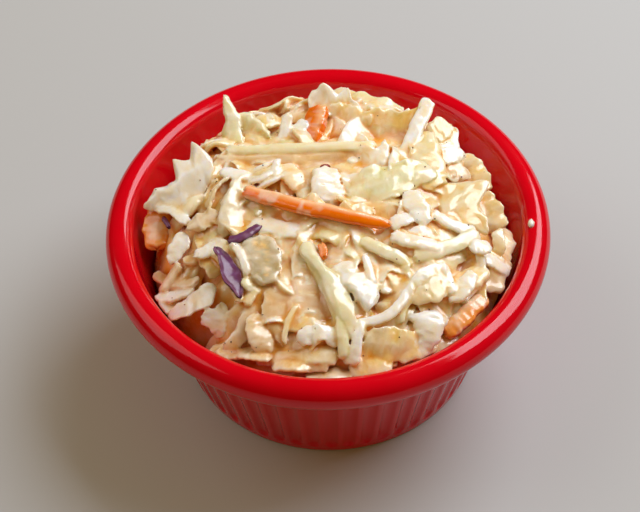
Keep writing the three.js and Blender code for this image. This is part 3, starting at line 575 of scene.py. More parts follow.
leafRows = [
    # back left, with two spikes against the wall
    shred((-36.8, 4.2, 37), (-30.5, 6.5, 40.6), (-23, 11, 43), 8, 0.9, -15, "white", rough=0.03, ruffle=0.4,
          droop=0.6, left=((0, 0.6), (0.2, 1.6), (0.56, 1.3), (0.66, 5), (0.82, 2.8), (0.97, 6.2), (1, 3)),
          right=((0, 1.8), (0.2, 2.4), (0.4, 4.4), (0.68, 5.4), (0.85, 3.6), (1, 2))),
    # horn and the hood beside it
    shred((-19, 16.5, 41), (-19.7, 21.5, 43.2), (-20.3, 26.5, 45.8), 4, 1.2, 20, "green", rough=0.02,
          droop=0.4, left=((0, 1.8), (0.35, 1.8), (0.5, 0.9), (0.75, 0.9), (1, 0.5)),
          right=((0, 2.6), (0.55, 2.4), (0.8, 1.3), (1, 0.5))),
    shred((-17.8, 22.8, 43.6), (-14.3, 20.8, 43.2), (-11.2, 17.5, 42.2), 6, 1.1, -35, "green", rough=0.02,
          droop=0.7, left=((0, 0.7), (0.3, 1.6), (0.6, 0.9), (1, 0.4)),
          right=((0, 3), (0.4, 5.4), (0.7, 4), (1, 0.8))),
    # frilled leaf at the back and the big one right of it
    shred((-3, 25, 42), (2, 25.6, 42.6), (7.8, 24, 42), 7, 1, -35, "white", rough=0.02, ruffle=0.5,
          left=((0, 1.5), (0.15, 3.7), (0.24, 3.6), (0.35, 5), (0.54, 2.8), (0.7, 4.5), (0.78, 2), (1, 0.5)),
          right=((0, 1.5), (0.4, 2.8), (0.8, 2.4), (1, 1))),
    shred((1.5, 23, 42.2), (5, 22.5, 42.8), (8.5, 20, 42), 5, 0.9, -30, "cream", ruffle=0.4),
    shred((6, 20.5, 42), (13, 20, 42), (20, 18, 42.2), 9, 0.9, -40, "butter", rough=0.015, ruffle=0.35,
          left=((0, 1.6), (0.2, 2.7), (0.36, 3.8), (0.42, 3.1), (0.65, 3.2), (0.9, 5.2), (1, 3.5)),
          right=((0, 1), (0.5, 5), (0.8, 6), (1, 3))),
    # right of the rib, two lobes and the leaf that runs down from it
    shred((21.3, 17, 41.8), (24.1, 18.9, 41.8), (26.6, 19, 41), 5, 0.9, -15, "cream", rough=0.02,
          left=((0, 2), (0.5, 3), (0.7, 1.6), (1, 0.4)), right=((0, 2.6), (0.6, 2.6), (1, 1.8))),
    shred((21.7, 10.4, 41.6), (25, 11.6, 41.4), (28.2, 12.1, 40.4), 4.5, 0.9, -15, "white", rough=0.02,
          left=((0, 1.8), (0.8, 2.1), (1, 0.6)), right=((0, 2.6), (0.5, 1.9), (0.9, 1), (1, 0.3))),
    shred((21.3, 16.9, 43), (20.5, 9.9, 42.8), (21.3, 2.4, 42), 6.4, 0.9, 5, "cream", rough=0.02, droop=0.3,
          left=((0, 1.4), (0.25, 2.6), (0.65, 3.3), (0.95, 2.9), (1, 2)),
          right=((0, 1.6), (0.25, 2.9), (0.55, 3.5), (0.85, 3.2), (1, 1.8))),
    shred((23.6, 7, 40.5), (26.1, 8.4, 40), (28.7, 7.6, 39), 3.2, 0.9, 0, "tan", ruffle=0.4),
    # pale green leaf and the broad one at the right
    shred((4.2, 1.3, 42.4), (12.2, 3, 43.4), (21.3, 6.3, 43), 8, 0.9, -12, "green", rough=0.02, ruffle=0.4,
          left=((0, 1.2), (0.16, 2.8), (0.27, 4.6), (0.41, 5.1), (0.55, 3.9), (0.85, 3.6), (1, 2.6)),
          right=((0, 1.7), (0.2, 2.6), (0.35, 3.5), (0.55, 4.1), (0.7, 3.2), (1, 1.8))),
    shred((22.4, 1.5, 40.6), (27.2, -1, 40.4), (31.4, -6.5, 38.4), 9, 0.9, -5, "cream", rough=0.015,
          ruffle=0.4, droop=0.4,
          left=((0, 2), (0.1, 3.7), (0.3, 5.5), (0.52, 7.5), (0.58, 4.5), (0.63, 2), (0.85, 1.7), (1, 0.8)),
          right=((0, 3.4), (0.3, 4.6), (0.54, 5), (0.8, 3.9), (0.92, 1.8), (1, 0.8))),
    # bright pieces at the crown
    shred((-0.4, 7.3, 43.4), (0.1, 2.9, 43.2), (0.6, -0.5, 41.6), 6, 1.7, 0, "white", rough=0.02,
          left=((0, 2.5), (0.46, 2.8), (0.8, 3.3), (1, 1.8)),
          right=((0, 2.4), (0.4, 3), (0.8, 3.6), (1, 2))),
    shred((16.6, 0.6, 43.2), (17.3, -3.9, 43.2), (18.7, -7.6, 42), 5, 1.5, 0, "white", rough=0.02,
          left=((0, 2), (0.3, 1.9), (0.6, 2.9), (0.94, 2.1), (1, 1.4)),
          right=((0, 1.2), (0.17, 2), (0.38, 2.5), (0.68, 1.3), (1, 0.7))),
    shred((-16.9, 5.4, 43.2), (-19.5, 0.4, 43.2), (-18.7, -7.5, 41.6), 5, 0.9, 8, "pearl", rough=0.03,
          ruffle=0.5, droop=0.9,
          left=((0, 1.4), (0.24, 2.4), (0.62, 3.1), (0.81, 4.3), (0.95, 2.9), (1, 1.5)),
          right=((0, 1.2), (0.37, 0.8), (0.69, 1.4), (0.95, 2.5), (1, 1.5))),
    # white leaf in the middle front and the strip beside it
    shred((1.8, -16, 41.2), (5.3, -21, 41), (7.4, -25.8, 39), 7, 1.1, 0, "white", rough=0.02, droop=0.5,
          left=((0, 2.3), (0.15, 2.9), (0.33, 2), (0.36, 4), (0.52, 3.4), (0.75, 3.2), (0.95, 1.9), (1, 1)),
          right=((0, 2.6), (0.32, 2.6), (0.55, 1.9), (0.77, 1.6), (1, 1))),
    shred((-3.7, -10.9, 42), (0.3, -21.8, 41.2), (4, -31.2, 37.5), 4.6, 1.1, -12, "green", rough=0.03,
          ruffle=0.6, droop=0.9, twist=-40, left=((0, 1.2), (0.28, 1), (0.52, 2.9), (0.8, 2.6), (1, 1)),
          right=((0, 2), (0.05, 2.3), (0.7, 1.9), (0.88, 2.5), (1, 1.2))),
    # arched leaf at the right front with its hollow, the bent end and what lies below
    shred((14.1, -23.6, 39), (17.4, -18.8, 40.6), (23.1, -16.7, 39.6), 3.2, 0.9, -15, "white", rough=0.02,
          left=((0, 0.4), (0.35, 0.4), (0.57, 1.2), (1, 1)),
          right=((0, 1.9), (0.4, 2.3), (0.77, 1.7), (1, 0.9))),
    shred((15.2, -24.4, 38.8), (18.7, -21.7, 39.9), (22.3, -19.6, 39.3), 5, 0.9, -22, "butter", rough=0.02,
          left=((0, 0.6), (1, 1.9)), right=((0, 1.2), (0.54, 3.4), (0.9, 2.8), (1, 1.5))),
    shred((27.5, -16.9, 39), (25.8, -20, 38.6), (23.3, -23.5, 37.6), 3.6, 1, 0, "white", rough=0.02,
          left=((0, 1.1), (0.4, 2.1), (0.72, 1.9), (1, 1)), right=((0, 1), (0.5, 1.5), (1, 1))),
    shred((5.9, -31.6, 36.4), (11.1, -32, 36), (16.8, -31.5, 34.2), 7, 0.8, -40, "butter", rough=0.02,
          ruffle=0.3, left=((0, 2), (0.4, 3.5), (0.72, 3.5), (1, 2.5)),
          right=((0, 3), (0.1, 3.5), (0.53, 3.2), (0.9, 1.6), (1, 1))),
    shred((18.6, -25.3, 37.6), (18.4, -29.1, 36.6), (17.5, -32.3, 34), 6, 1.1, 0, "white", rough=0.02,
          droop=0.4, left=((0, 2.3), (0.22, 3.3), (0.5, 2.7), (0.74, 2.6), (1, 1)),
          right=((0, 3.2), (0.07, 3.5), (0.43, 3.1), (0.7, 1.7), (1, 0.8))),
    # left side and left front
    shred((-28.4, -4.2, 38), (-29.6, -7.2, 37), (-31, -9.9, 35.4), 3.8, 1.1, 0, "white", rough=0.02,
          left=((0, 1.2), (0.24, 2.1), (0.86, 1.4), (1, 0.6)),
          right=((0, 1.2), (0.53, 2.1), (0.83, 1.4), (1, 0.6))),
    shred((-21.9, -1.4, 41.4), (-24.5, -2.7, 40.4), (-27.7, -4, 39), 4.6, 0.8, 0, "tan", rough=0.02,
          ruffle=0.3, left=((0, 1.5), (0.25, 2.3), (0.6, 2.7), (1, 0.8)),
          right=((0, 1), (0.6, 2), (1, 1.1))),
    shred((-34.3, 2.6, 37.5), (-30.9, 1.6, 38.5), (-27.8, -2.3, 38.5), 2.8, 0.9, 0, "white"),
    shred((-22.4, -17.2, 37.4), (-25.8, -19.7, 35.4), (-31.3, -20.4, 31.8), 4.8, 1.1, 0, "white",
          rough=0.02, droop=-0.3,
          left=((0, 1), (0.1, 1.4), (0.25, 2.7), (0.43, 2.9), (0.67, 2.3), (1, 1.2)),
          right=((0, 1.2), (0.26, 1.9), (0.84, 1.7), (1, 1))),
    shred((-21.5, -21.5, 36.2), (-22.1, -23.5, 35), (-22.7, -25.3, 33), 5, 0.9, 0, "white", tips=(0.6, 1.1),
          fray=1.2),
    shred((-12.9, -19.3, 38), (-16.1, -25.5, 36), (-20, -29.6, 32.8), 3.4, 0.9, 10, "tan", rough=0.02,
          ruffle=0.3, left=((0, 0.9), (0.5, 1.3), (0.73, 2.2), (1, 1.5)),
          right=((0, 0.8), (0.5, 1.4), (1, 1))),
    shred((-13.9, -24.5, 37.4), (-12.2, -28.4, 36.4), (-11.5, -31.8, 34.6), 5, 0.8, 15, "tan", rough=0.02,
          droop=0.5, left=((0, 0.8), (0.48, 1.5), (1, 1.2)),
          right=((0, 2.4), (0.39, 4.1), (0.82, 3.5), (1, 2))),
    shred((-11, -19.7, 39), (-10.3, -25.3, 37.6), (-9.2, -30.5, 35), 5, 0.9, 0, "tan", rough=0.02,
          left=((0, 2.4), (0.27, 3.1), (0.61, 1.9), (1, 0.5)),
          right=((0, 1.6), (0.48, 2.6), (0.72, 1.6), (1, 0.8))),
    shred((-14.3, -32.1, 32.4), (-7.4, -33.8, 34), (-0.3, -35, 34.6), 4, 0.9, -20, "tan", rough=0.02,
          left=((0, 1), (0.25, 1.8), (0.58, 2.4), (1, 2)), right=((0, 0.8), (0.5, 1.8), (1, 1.8))),
    # clear green piece in the middle and the brown leaf beside it
    shred((-13.2, -8.9, 41.8), (-12.8, -14.7, 41.4), (-12.5, -19.8, 40), 7.8, 1.2, 0, "glass", rough=0.01,
          fray=0.2, left=((0, 2.2), (0.1, 2.8), (0.43, 3.9), (0.72, 3.5), (0.96, 2.8), (1, 1.5)),
          right=((0, 2.4), (0.14, 3.4), (0.36, 3.7), (0.64, 2.8), (0.9, 1.6), (1, 1))),
    shred((-5, -16.3, 40), (-4.5, -22.9, 38.4), (-3.9, -28.6, 36.4), 8, 0.9, 0, "tan", rough=0.02,
          ruffle=0.2, droop=0.3, left=((0, 2.5), (0.34, 3.8), (0.67, 4.3), (1, 3.6)),
          right=((0, 2), (0.29, 2.8), (0.6, 4), (0.92, 4.8), (1, 3))),
]
stripRows = [
    # two that lie side by side across the back, then the rib
    shred((-20.1, 13.9, 42), (-7.2, 12.8, 43.4), (10.2, 13.1, 43.2), 2.5, 1.8, -15, "green", ruffle=0.2),
    shred((-22, 12.6, 41.4), (-8.2, 10.4, 42.4), (9.3, 12, 42), 2.5, 1.5, -30, "tan", tips=(0.4, 0.8),
          ruffle=0.2),
    shred((15.5, 10.5, 42), (18.6, 17.3, 43.8), (21.4, 23.8, 45.4), 3.2, 1.4, 0, "white", tips=(0.6, 0.95),
          rough=0.03),
    # crown
    shred((-21, 7.9, 42.8), (-18, 6.7, 43), (-14.8, 6.2, 42.6), 2.8, 1.1, 0, "white"),
    shred((-23.6, -0.3, 40.6), (-22.5, 3.2, 42), (-19.7, 5.7, 43), 2.6, 0.8, 45, "butter"),
    shred((-14.5, 8.1, 42), (-12.5, 8.2, 42.8), (-10, 9.6, 42.6), 2, 1.2, 0, "white"),
    shred((-15.2, 4.6, 42.6), (-12.6, 5.2, 43.4), (-10.2, 6.8, 43.3), 1.5, 1, 15, "white"),
    shred((-14.4, 6.4, 42.6), (-12, 6.9, 43.3), (-9.8, 8.3, 43), 1.4, 1, -10, "cream"),
    shred((-13.4, 3.6, 42.2), (-10.8, 4.6, 43.1), (-8.4, 6.2, 42.9), 1.4, 1, 10, "white"),
    shred((-9.7, 9.6, 43.8), (-10, 7.5, 43.6), (-10.4, 5.6, 43), 1.8, 1.2, 0, "white"),
    shred((-8.4, 9, 42.8), (-6.8, 5.9, 42.8), (-5.3, 3.4, 42), 4.2, 1.3, 0, "cream"),
    shred((5, -2.8, 42.4), (6.8, -3.8, 42.8), (8.8, -3.8, 42.2), 3, 1, 0, "cream"),
    shred((12, -7.6, 42.4), (14.1, -6.9, 43), (16.2, -5.6, 42.6), 3.2, 1.1, 0, "white"),
    shred((-15, -5.2, 41.3), (-9, -7, 41.8), (-3.5, -8.2, 41.5), 4, 1.2, 0, "white"),
    shred((9.8, 9.6, 42.6), (11.4, 11.6, 43.4), (11.8, 14, 43.9), 3.4, 1.1, 0, "white", rough=0.01,
          left=((0, 1.8), (0.5, 1.4), (1, 0.3)), right=((0, 2.2), (0.4, 1.8), (1, 0.3))),
    shred((-1.3, -9.3, 41.6), (0.8, -9.6, 41.8), (2.8, -9.8, 41.6), 2.6, 1.3, 0, "green"),
    # front: the fork, the spike of the white leaf, the pale strips to the right
    shred((1.7, -24.7, 39.4), (2.2, -29.8, 38.2), (2.2, -34.4, 35.6), 2.3, 1.3, 0, "green"),
    shred((5.6, -28.1, 38.6), (4.9, -32.1, 37.4), (3.1, -35.2, 34.6), 3, 1.4, 0, "white", rough=0.02,
          left=((0, 1), (0.6, 1.1), (0.85, 1.9), (1, 1.4)),
          right=((0, 1), (0.6, 1.1), (0.85, 1.9), (1, 1.4))),
    shred((5.2, -28.4, 38.4), (10.9, -27, 38.8), (15.1, -21.9, 39.6), 2.1, 1.3, 0, "white"),
    shred((8.2, -20.6, 40.6), (7.6, -17.2, 41.6), (6.7, -14.6, 42), 1.7, 1, 0, "white", tips=(0.9, 0.4)),
    shred((6.2, -11, 42), (10.9, -13.6, 41.8), (15.2, -16.2, 40.8), 2.8, 1.3, 0, "green"),
    shred((12.2, -10.1, 42.2), (16.8, -11.8, 42.2), (21.7, -12.7, 41.2), 3.2, 1.4, 0, "white"),
    shred((16.4, -14.6, 41), (22.7, -12.7, 41.2), (29.3, -8.2, 40.2), 3, 1.1, -20, "green",
          tips=(0.8, 0.9)),
    shred((20.5, -4.3, 42), (23.9, -6.7, 41.4), (28.5, -7.9, 40.4), 2.5, 1.2, 0, "white"),
    shred((27.4, -11.7, 40.4), (29.4, -11.8, 40.2), (31.4, -11.2, 39.4), 3.6, 1.2, 0, "white"),
    shred((21.7, -17.2, 39.6), (22.7, -19.4, 39.2), (22.8, -22, 38.2), 2.6, 1.2, 0, "white"),
    shred((20.5, -19.5, 37.2), (25.5, -19, 37.6), (29.5, -15, 37.2), 5, 2.4, 0, "cream"),
    shred((29, -12.6, 39.6), (29.1, -16.6, 37.4), (25.3, -22.5, 36.6), 1.9, 1.1, 0, "white"),
    shred((29.9, -12.4, 37), (32, -12.5, 36.4), (34.7, -13.1, 34), 3.2, 1.1, 0, "white"),
    shred((30, -9.8, 33.8), (33, -7.3, 33), (35.6, -3.5, 31.5), 3, 1.2, 0, "cream"),
    shred((33.3, -5.6, 38), (33.5, -8, 37.4), (33.4, -10.2, 36), 2.6, 1, 0, "cream"),
    # left
    shred((-25.6, -11.1, 39), (-23.6, -10.3, 39.4), (-21.2, -9.3, 40), 3, 1.1, 0, "white", fray=1),
    shred((-28.3, -9.4, 36.5), (-26.7, -10.1, 36.6), (-25.1, -9.5, 37.4), 2.4, 0.8, 0, "tan"),
    shred((-29.1, -10.5, 36), (-31, -12.5, 34.2), (-33, -14.5, 32.4), 2, 1.1, 0, "tan"),
    shred((-33.8, -15, 31.8), (-30.7, -16.3, 33), (-26.5, -16.1, 35), 2.8, 1.1, 0, "white"),
    shred((-34.5, -8.5, 31), (-30.5, -13, 33), (-25.5, -15, 36), 2.6, 1.1, 0, "tan"),
    shred((-18.6, -10.5, 41.6), (-16.6, -14.2, 41.6), (-15.7, -17.7, 40.4), 1.8, 1.1, 0, "white"),
    shred((-16.5, -18.1, 40), (-15.3, -19.2, 39.8), (-14.4, -20.4, 39), 2.8, 1.1, 0, "green"),
    shred((-18.2, -20.4, 39.4), (-17.6, -21.4, 39), (-17.1, -22.4, 38.5), 1.7, 0.8, 0, "cream"),
    # front edge
    shred((-13.9, -19.8, 39), (-15, -21.3, 38.8), (-16.1, -22.9, 38.2), 2.2, 1, 0, "cream"),
    shred((-6.4, -24.1, 38.6), (-8.2, -27.6, 37.6), (-8.8, -30.9, 36), 1.2, 1, 0, "cream"),
    shred((-6.2, -31, 36.6), (-2.6, -30.2, 37.8), (1.8, -31.2, 36.8), 4.4, 1.1, -15, "white", rough=0.02,
          ruffle=0.4, left=((0, 1), (0.3, 2.2), (0.6, 1.5), (0.85, 2.3), (1, 1)),
          right=((0, 1.4), (0.4, 2.2), (0.7, 1.4), (1, 2))),
    shred((5.4, -34.3, 32.8), (8.8, -34.6, 32.8), (12.6, -33.4, 32.6), 1.8, 1, 0, "cream"),
    # pieces along the front wall and the right wall
    shred((-17.5, -30.5, 33), (-14.5, -31.6, 34), (-11.5, -32.4, 34), 4.5, 1.1, 20, "tan"),
    shred((-11, -34.2, 33.4), (-7.5, -34.6, 34.4), (-4, -35.2, 34), 4, 1.1, 10, "tan"),
    shred((-6, -32.5, 34.6), (-2.5, -33.2, 35.2), (1.5, -33.6, 34.8), 4, 1.1, -10, "cream"),
    shred((3.5, -35.6, 33.4), (7.5, -35.4, 34), (11.5, -34.2, 33.6), 4, 1.1, -15, "butter"),
    shred((-22.6, -27.6, 31.2), (-20, -29.6, 32.4), (-16.8, -31.4, 32.8), 3.6, 1.1, 10, "tan", ruffle=0.4),
    shred((-5, -35.6, 32.2), (-0.5, -36.4, 33), (4, -36.2, 32.6), 3.4, 1.1, 10, "tan", ruffle=0.4),
    shred((12, -33, 33.8), (16, -31.6, 34.4), (20, -29.4, 33.8), 4.5, 1.1, -20, "cream"),
    shred((19, -30.9, 32), (21.5, -29, 32.6), (23.8, -27.2, 32.2), 3, 1.1, -10, "tan"),
    shred((31.3, -17.8, 33.4), (33.1, -13.5, 34.6), (34.8, -9, 34), 4.5, 1.1, -30, "tan", ruffle=0.4),
    shred((33.6, -11, 33), (35, -6.5, 34), (35.6, -1.5, 33.4), 4, 1.1, -30, "cream", ruffle=0.4),
    shred((30.5, 4, 37.6), (32.5, 0.5, 37), (34, -3.5, 35.4), 5, 1.1, -10, "cream", ruffle=0.5),
    shred((27.5, 14, 38.4), (30, 10, 38), (31.5, 5.5, 37), 5, 1.1, -15, "cream", ruffle=0.5),
    # bits beside the carrot stub
    shred((-8.7, 17, 41.5), (-8, 19.5, 43), (-7.2, 22.2, 44), 2.4, 1.2, 0, "white", tips=(0.9, 0.4)),
    shred((-6.5, 17, 42), (-5.2, 19, 42.8), (-4, 21, 43), 3, 1.2, 0, "white"),
    shred((-12, 21, 40), (-7, 24, 41), (-2, 26, 41), 3, 1.1, 0, "tan"),
]
carrotRows = [
    shred((-16.1, 1.4, 43.4), (-3, -4.4, 44.4), (12.1, -8.2, 43.2), 3, 2.4, -28, "carrot", rough=0.03,
          tips=(0.9, 0.5)),
    shred((-3.3, 16.5, 41), (-2.2, 20.3, 42.6), (-0.9, 24.4, 43.4), 5, 2.8, 20, "carrot", rough=0.03,
          tips=(0.9, 0.7)),
    shred((-34.3, -3.5, 32.5), (-34, 2, 34.5), (-32, 7, 36.5), 5.5, 2.6, 0, "paleCarrot", rough=0.03),
    shred((21.8, -28, 33.6), (25.7, -24.7, 34.8), (29.6, -20.4, 35), 3.6, 2.4, -10, "paleCarrot",
          rough=0.03),
    shred((-1.3, -11.5, 41.8), (-1, -13, 41.8), (-0.8, -14.5, 41.4), 1.6, 1.1, 0, "carrot"),
]
purpleRows = [
    shred((-13.4, -6.3, 41.9), (-16.1, -8.8, 42), (-19.2, -9.4, 41.4), 1.9, 1.1, 0, "purple"),
    shred((-21.7, -11.2, 41), (-19.7, -17.1, 40.4), (-17.3, -21.9, 38.8), 3.4, 0.9, 15, "purple",
          rough=0.03, droop=-0.9, ruffle=0.3,
          left=((0, 0.9), (0.15, 1.1), (0.29, 2), (0.51, 2.5), (0.76, 2.2), (1, 0.6)),
          right=((0, 0.9), (0.3, 0.9), (0.55, 1.4), (0.74, 1.4), (1, 0.5))),
    shred((-32.8, 1, 36.8), (-32.2, -0.2, 37), (-31.5, -1.5, 36.8), 1, 0.8, 0, "purple"),
    shred((-0.9, 7.6, 43.2), (-0.2, 7.9, 43.3), (0.5, 7.9, 43.1), 0.9, 0.8, 0, "wine"),
]


# loose fill between them: the part's own short strips

fill = {
    "count": 24,
    "seed": 11,
    "reach": 34.0,
    "half": (4.5, 7.5),
    "bend": (-2, 2),
    "endLift": (-3.8, -2.0),
    "midLift": (-2.2, -0.8),
    "width": (2.8, 4.6),
    "thick": (1.3, 2),
    "roll": (-30, 30),
}


def seeded(seed):
    # repeatable numbers from 0 to 1, by the same mixing of 32-bit whole numbers as in the part's source
    word = 0xFFFFFFFF
    state = seed
    while True:
        state = (state + 0x6D2B79F5) & word
        mixed = ((state ^ (state >> 15)) * (1 | state)) & word
        mixed = ((mixed + ((mixed ^ (mixed >> 7)) * (61 | mixed) & word)) & word) ^ mixed
        yield (mixed ^ (mixed >> 14)) / 2 ** 32


def sunflower(count, reach, turn=0):
    # plan points spread evenly over a disc, each a golden angle on from the last
    i = np.arange(count)
    radius = reach * np.sqrt((i + 0.5) / count)
    angle = np.radians(i * goldenAngle + turn)
    return np.column_stack([radius * np.cos(angle), radius * np.sin(angle)])


def layPath(x, y, heading, half, bend, height):
    # start, middle and end of a bent line through a plan point, at the heights that the function gives
    places = []
    for step in (-1, 0, 1):
        px = x + step * half * np.cos(heading) - (1 - step * step) * bend * np.sin(heading)
        py = y + step * half * np.sin(heading) + (1 - step * step) * bend * np.cos(heading)
        places.append((px, py, height(px, py, step)))
    return places


def fillRows():
    # strips at the points of a sunflower, ends deeper than the middle
    numbers = seeded(fill["seed"])
    between = lambda pair: pair[0] + (pair[1] - pair[0]) * next(numbers)
    lifted = lambda px, py, step: heapHeight(px, py) + between(fill["endLift" if step else "midLift"])
    rows = []
    for x, y in sunflower(fill["count"], fill["reach"]):
        heading = between((0, np.pi))
        path = layPath(x, y, heading, between(fill["half"]), between(fill["bend"]), lifted)
        width, thick, roll = (between(fill[key]) for key in ("width", "thick", "roll"))
        rows.append(shred(*path, width, thick, roll, "cream"))
    return rows


shapes = {
    "cabbage_leaves": carryShreds(leafRows, steps=44, loop=36, seed=21),
    "cabbage_strips": carryShreds(stripRows, steps=40, loop=24, seed=22),
    "carrot_strips": carryShreds(carrotRows, steps=48, loop=28, seed=23, square=0.3, crisp=4, level=1.02),
    "purple_cabbage": carryShreds(purpleRows, steps=40, loop=24, seed=24),
}


# local top: the height of the shreds that show, carried across the gaps between them

topMap = {
    "cell": 0.7,
    "half": 40.0,
    "blur": 4,  # cells either side, three times over
    "domeShare": 0.02,  # how little the bare dome counts beside a shred
    "domeSink": 1.5,
}


def blurred(grid, reach):
    # three box averages along each axis
    for axis in (0, 1, 0, 1, 0, 1):
        grid = sum(np.roll(grid, step, axis) for step in range(-reach, reach + 1)) / (2 * reach + 1)
    return grid


def cellOf(points):
    # the grid's cell that each point lies in
    size = int(2 * topMap["half"] / topMap["cell"]) + 1
    cell = np.rint((points[..., :2] + topMap["half"]) / topMap["cell"]).astype(int).clip(0, size - 1)
    return cell[..., 0], cell[..., 1]


def heapTop():
    # highest shred in each cell, their mean near by where cells with a shred count for most, and their share
    size = int(2 * topMap["half"] / topMap["cell"]) + 1
    centres = np.linspace(-topMap["half"], topMap["half"], size)
    gridX, gridY = np.meshgrid(centres, centres, indexing="ij")
    top = np.zeros((size, size))
    every = np.vstack([shape["points"] for shape in shapes.values()])
    np.maximum.at(top, cellOf(every), every[:, 2])
    weight = np.where(top > 0, 1, topMap["domeShare"])
    level = np.where(top > 0, top, heapHeight(gridX, gridY) - topMap["domeSink"])
    cover = blurred((weight == 1).astype(float), topMap["blur"])
    return top, blurred(level * weight, topMap["blur"]) / blurred(weight, topMap["blur"]), cover


def sampled(grid, x, y):
    # the grid's value at plan points, between its four nearest cells
    last = len(grid) - 1.001  # just short of the last cell
    u = np.clip((x + topMap["half"]) / topMap["cell"], 0, last)
    v = np.clip((y + topMap["half"]) / topMap["cell"], 0, last)
    i, j = u.astype(int), v.astype(int)
    a, b = u - i, v - j
    low = blend(grid[i, j], grid[i + 1, j], a)
    return blend(low, blend(grid[i, j + 1], grid[i + 1, j + 1], a), b)


shredGrid, topGrid, coverGrid = heapTop()


# hollows: places between the shreds that stay open

hollows = {
    "places": ((11.2, -1.7, 2), (6.1, -12.3, 1.8), (5.5, 4.6, 1.4), (20.5, 2, 1.4), (-28, 1.9, 2.4),
               (-7.3, 2.6, 2), (-24.5, -13.5, 3), (10.7, -23.1, 2), (-24, -25.5, 4)),  # plan point and radius
    "margin": 0.8,
    "depth": 3.2,
}


def hollowShare(x, y, margin=0):
    # 1 in the middle of a hollow, and exp(-distance^2 / radius^2) around it
    squared = lambda px, py, radius: ((x - px) ** 2 + (y - py) ** 2) / (radius + margin) ** 2
    return sum(np.exp(-squared(*place)) for place in hollows["places"])


def hasHollow(path):
    # whether any of the plan points lies within the radius of a hollow
    x, y = np.array(path).T[:2]
    return hollowShare(x, y, hollows["margin"]).max() > np.exp(-1)


# torn: what all the torn pieces under the shreds have in common

torn = {
    "width": 4,  # sets how far the edges wander and the folds
    "rough": 0.03,
    "corners": (0, 0.2, 0.5, 0.8, 1),  # shares along at which the outline turns
    "uneven": (0.7, 1.3),
    "ruffle": (0.3, 0.9),
    "droop": (-0.3, 0.6),
    "tints": {"white": 0.37, "cream": 0.28, "butter": 0.10, "green": 0.19, "tan": 0.06},
    "steps": 22,
    "loop": 20,
    "overlap": 0.1,  # height over a shred that counts as lying over it
    "mostOver": 0.05,  # share of a piece's points
}


def tornPiece(draw, path, sizes, roll=None):
    # a flat piece with two uneven edges, at a random roll where none is given
    edges = draw.uniform(*sizes["halfWidth"]) * draw.uniform(*torn["uneven"], (2, len(torn["corners"])))
    left, right = (tuple(zip(torn["corners"], edge)) for edge in edges)
    tint = draw.choice(list(torn["tints"]), p=list(torn["tints"].values()))
    thick = draw.uniform(*sizes["thick"])
    if roll is None:
        roll = draw.uniform(*sizes["roll"])
    return shred(*path, torn["width"], thick, roll, tint, rough=torn["rough"], left=left, right=right,
                 ruffle=draw.uniform(*torn["ruffle"]), droop=draw.uniform(*torn["droop"]))


def carryTorn(rows, seed):
    # only the pieces that don't lie over the shreds that show
    carry = lambda some: carryShreds(some, torn["steps"], torn["loop"], seed)
    points = carry(rows)["points"].reshape(len(rows), -1, 3)
    below = shredGrid[cellOf(points)]
    over = (below > 0) & (points[..., 2] > below + torn["overlap"])
    return carry([row for row, share in zip(rows, over.mean(1)) if share < torn["mostOver"]])


# mantle: torn pieces that lie close together under the shreds that show

mantle = {
    "count": 260,
    "seed": 5,
    "centre": (-1.0, -3.5),
    "reach": 33.0,
    "turn": 40,  # degrees
    "leastCover": 0.42,  # share of the ground near by that shreds must cover
    "half": (4.0, 9.0),
    "bend": (-2.5, 2.5),
    "halfWidth": (1.8, 4.2),
    "thick": (0.8, 1.2),
    "midSink": (1.0, 2.4),
    "endSink": (1.8, 3.4),
    "roll": (-35, 35),
}


def mantleRows():
    # pieces at the points of a sunflower, sunk under the local top, ends deeper than the middle
    draw = np.random.default_rng(mantle["seed"])
    top = lambda px, py: float(sampled(topGrid, np.array(px), np.array(py)))
    sunken = lambda px, py, step: top(px, py) - draw.uniform(*mantle["endSink" if step else "midSink"])
    rows = []
    for x, y in sunflower(mantle["count"], mantle["reach"], mantle["turn"]) + np.array(mantle["centre"]):
        heading = draw.uniform(0, np.pi)
        path = layPath(x, y, heading, draw.uniform(*mantle["half"]), draw.uniform(*mantle["bend"]), sunken)
        row = tornPiece(draw, path, mantle)
        covered = sampled(coverGrid, *np.array(path).T[:2]).min()
        if covered > mantle["leastCover"] and not hasHollow(path):
            rows.append(row)
    return rows


shapes["under_strips"] = carryShreds(fillRows(), steps=24, loop=18, seed=25)
shapes["torn_pieces"] = carryTorn(mantleRows(), seed=26)
print("shreds worked out:", {name: len(shape["points"]) for name, shape in shapes.items()})


# depth: how far a point lies under the local top, for the painted shade of the crevices

gapTint = {
    "start": 0.5,  # millimetres down to where the painted shade sets in
    "full": 3.2,  # and on to the deepest painted shade
    "overDome": 1.6,  # the most that the top counts for over the plain heap
    "colour": (0.95, 0.60, 0.09),
}


def sunkTint(points):
    # painted shade that multiplies a colour: 1 at the local top, ochre down in the gaps where shade falls
    x, y, z = points.T
    level = np.minimum(sampled(topGrid, x, y), heapHeight(x, y) + gapTint["overDome"])
    sunk = smoothStep((level - z - gapTint["start"]) / gapTint["full"])[:, None]
    return blend(np.ones(3), np.array(gapTint["colour"]), sunk)


# core: dressing and unseen shreds, a polar sheet a little under the shreds and closed below

core = {
    "rings": 60,
    "segments": 180,
    "pastReach": 0.8,
    "overDome": 1.0,  # the most that the local top counts for over the plain heap
    "sink": 2.6,
    "foldHeight": 0.5,
    "folds": ((1.1, 0.4, 0), (-0.5, 0.9, 1)),  # rates along X and Y, and shift
    "bottom": 20.0,
    "colour": (0.88, 0.69, 0.41),
}


def coreHeight(x, y):
    # the local top or the plain heap, whichever is lower, and some way down
    return np.minimum(sampled(topGrid, x, y), heapHeight(x, y) + core["overDome"]) - core["sink"]


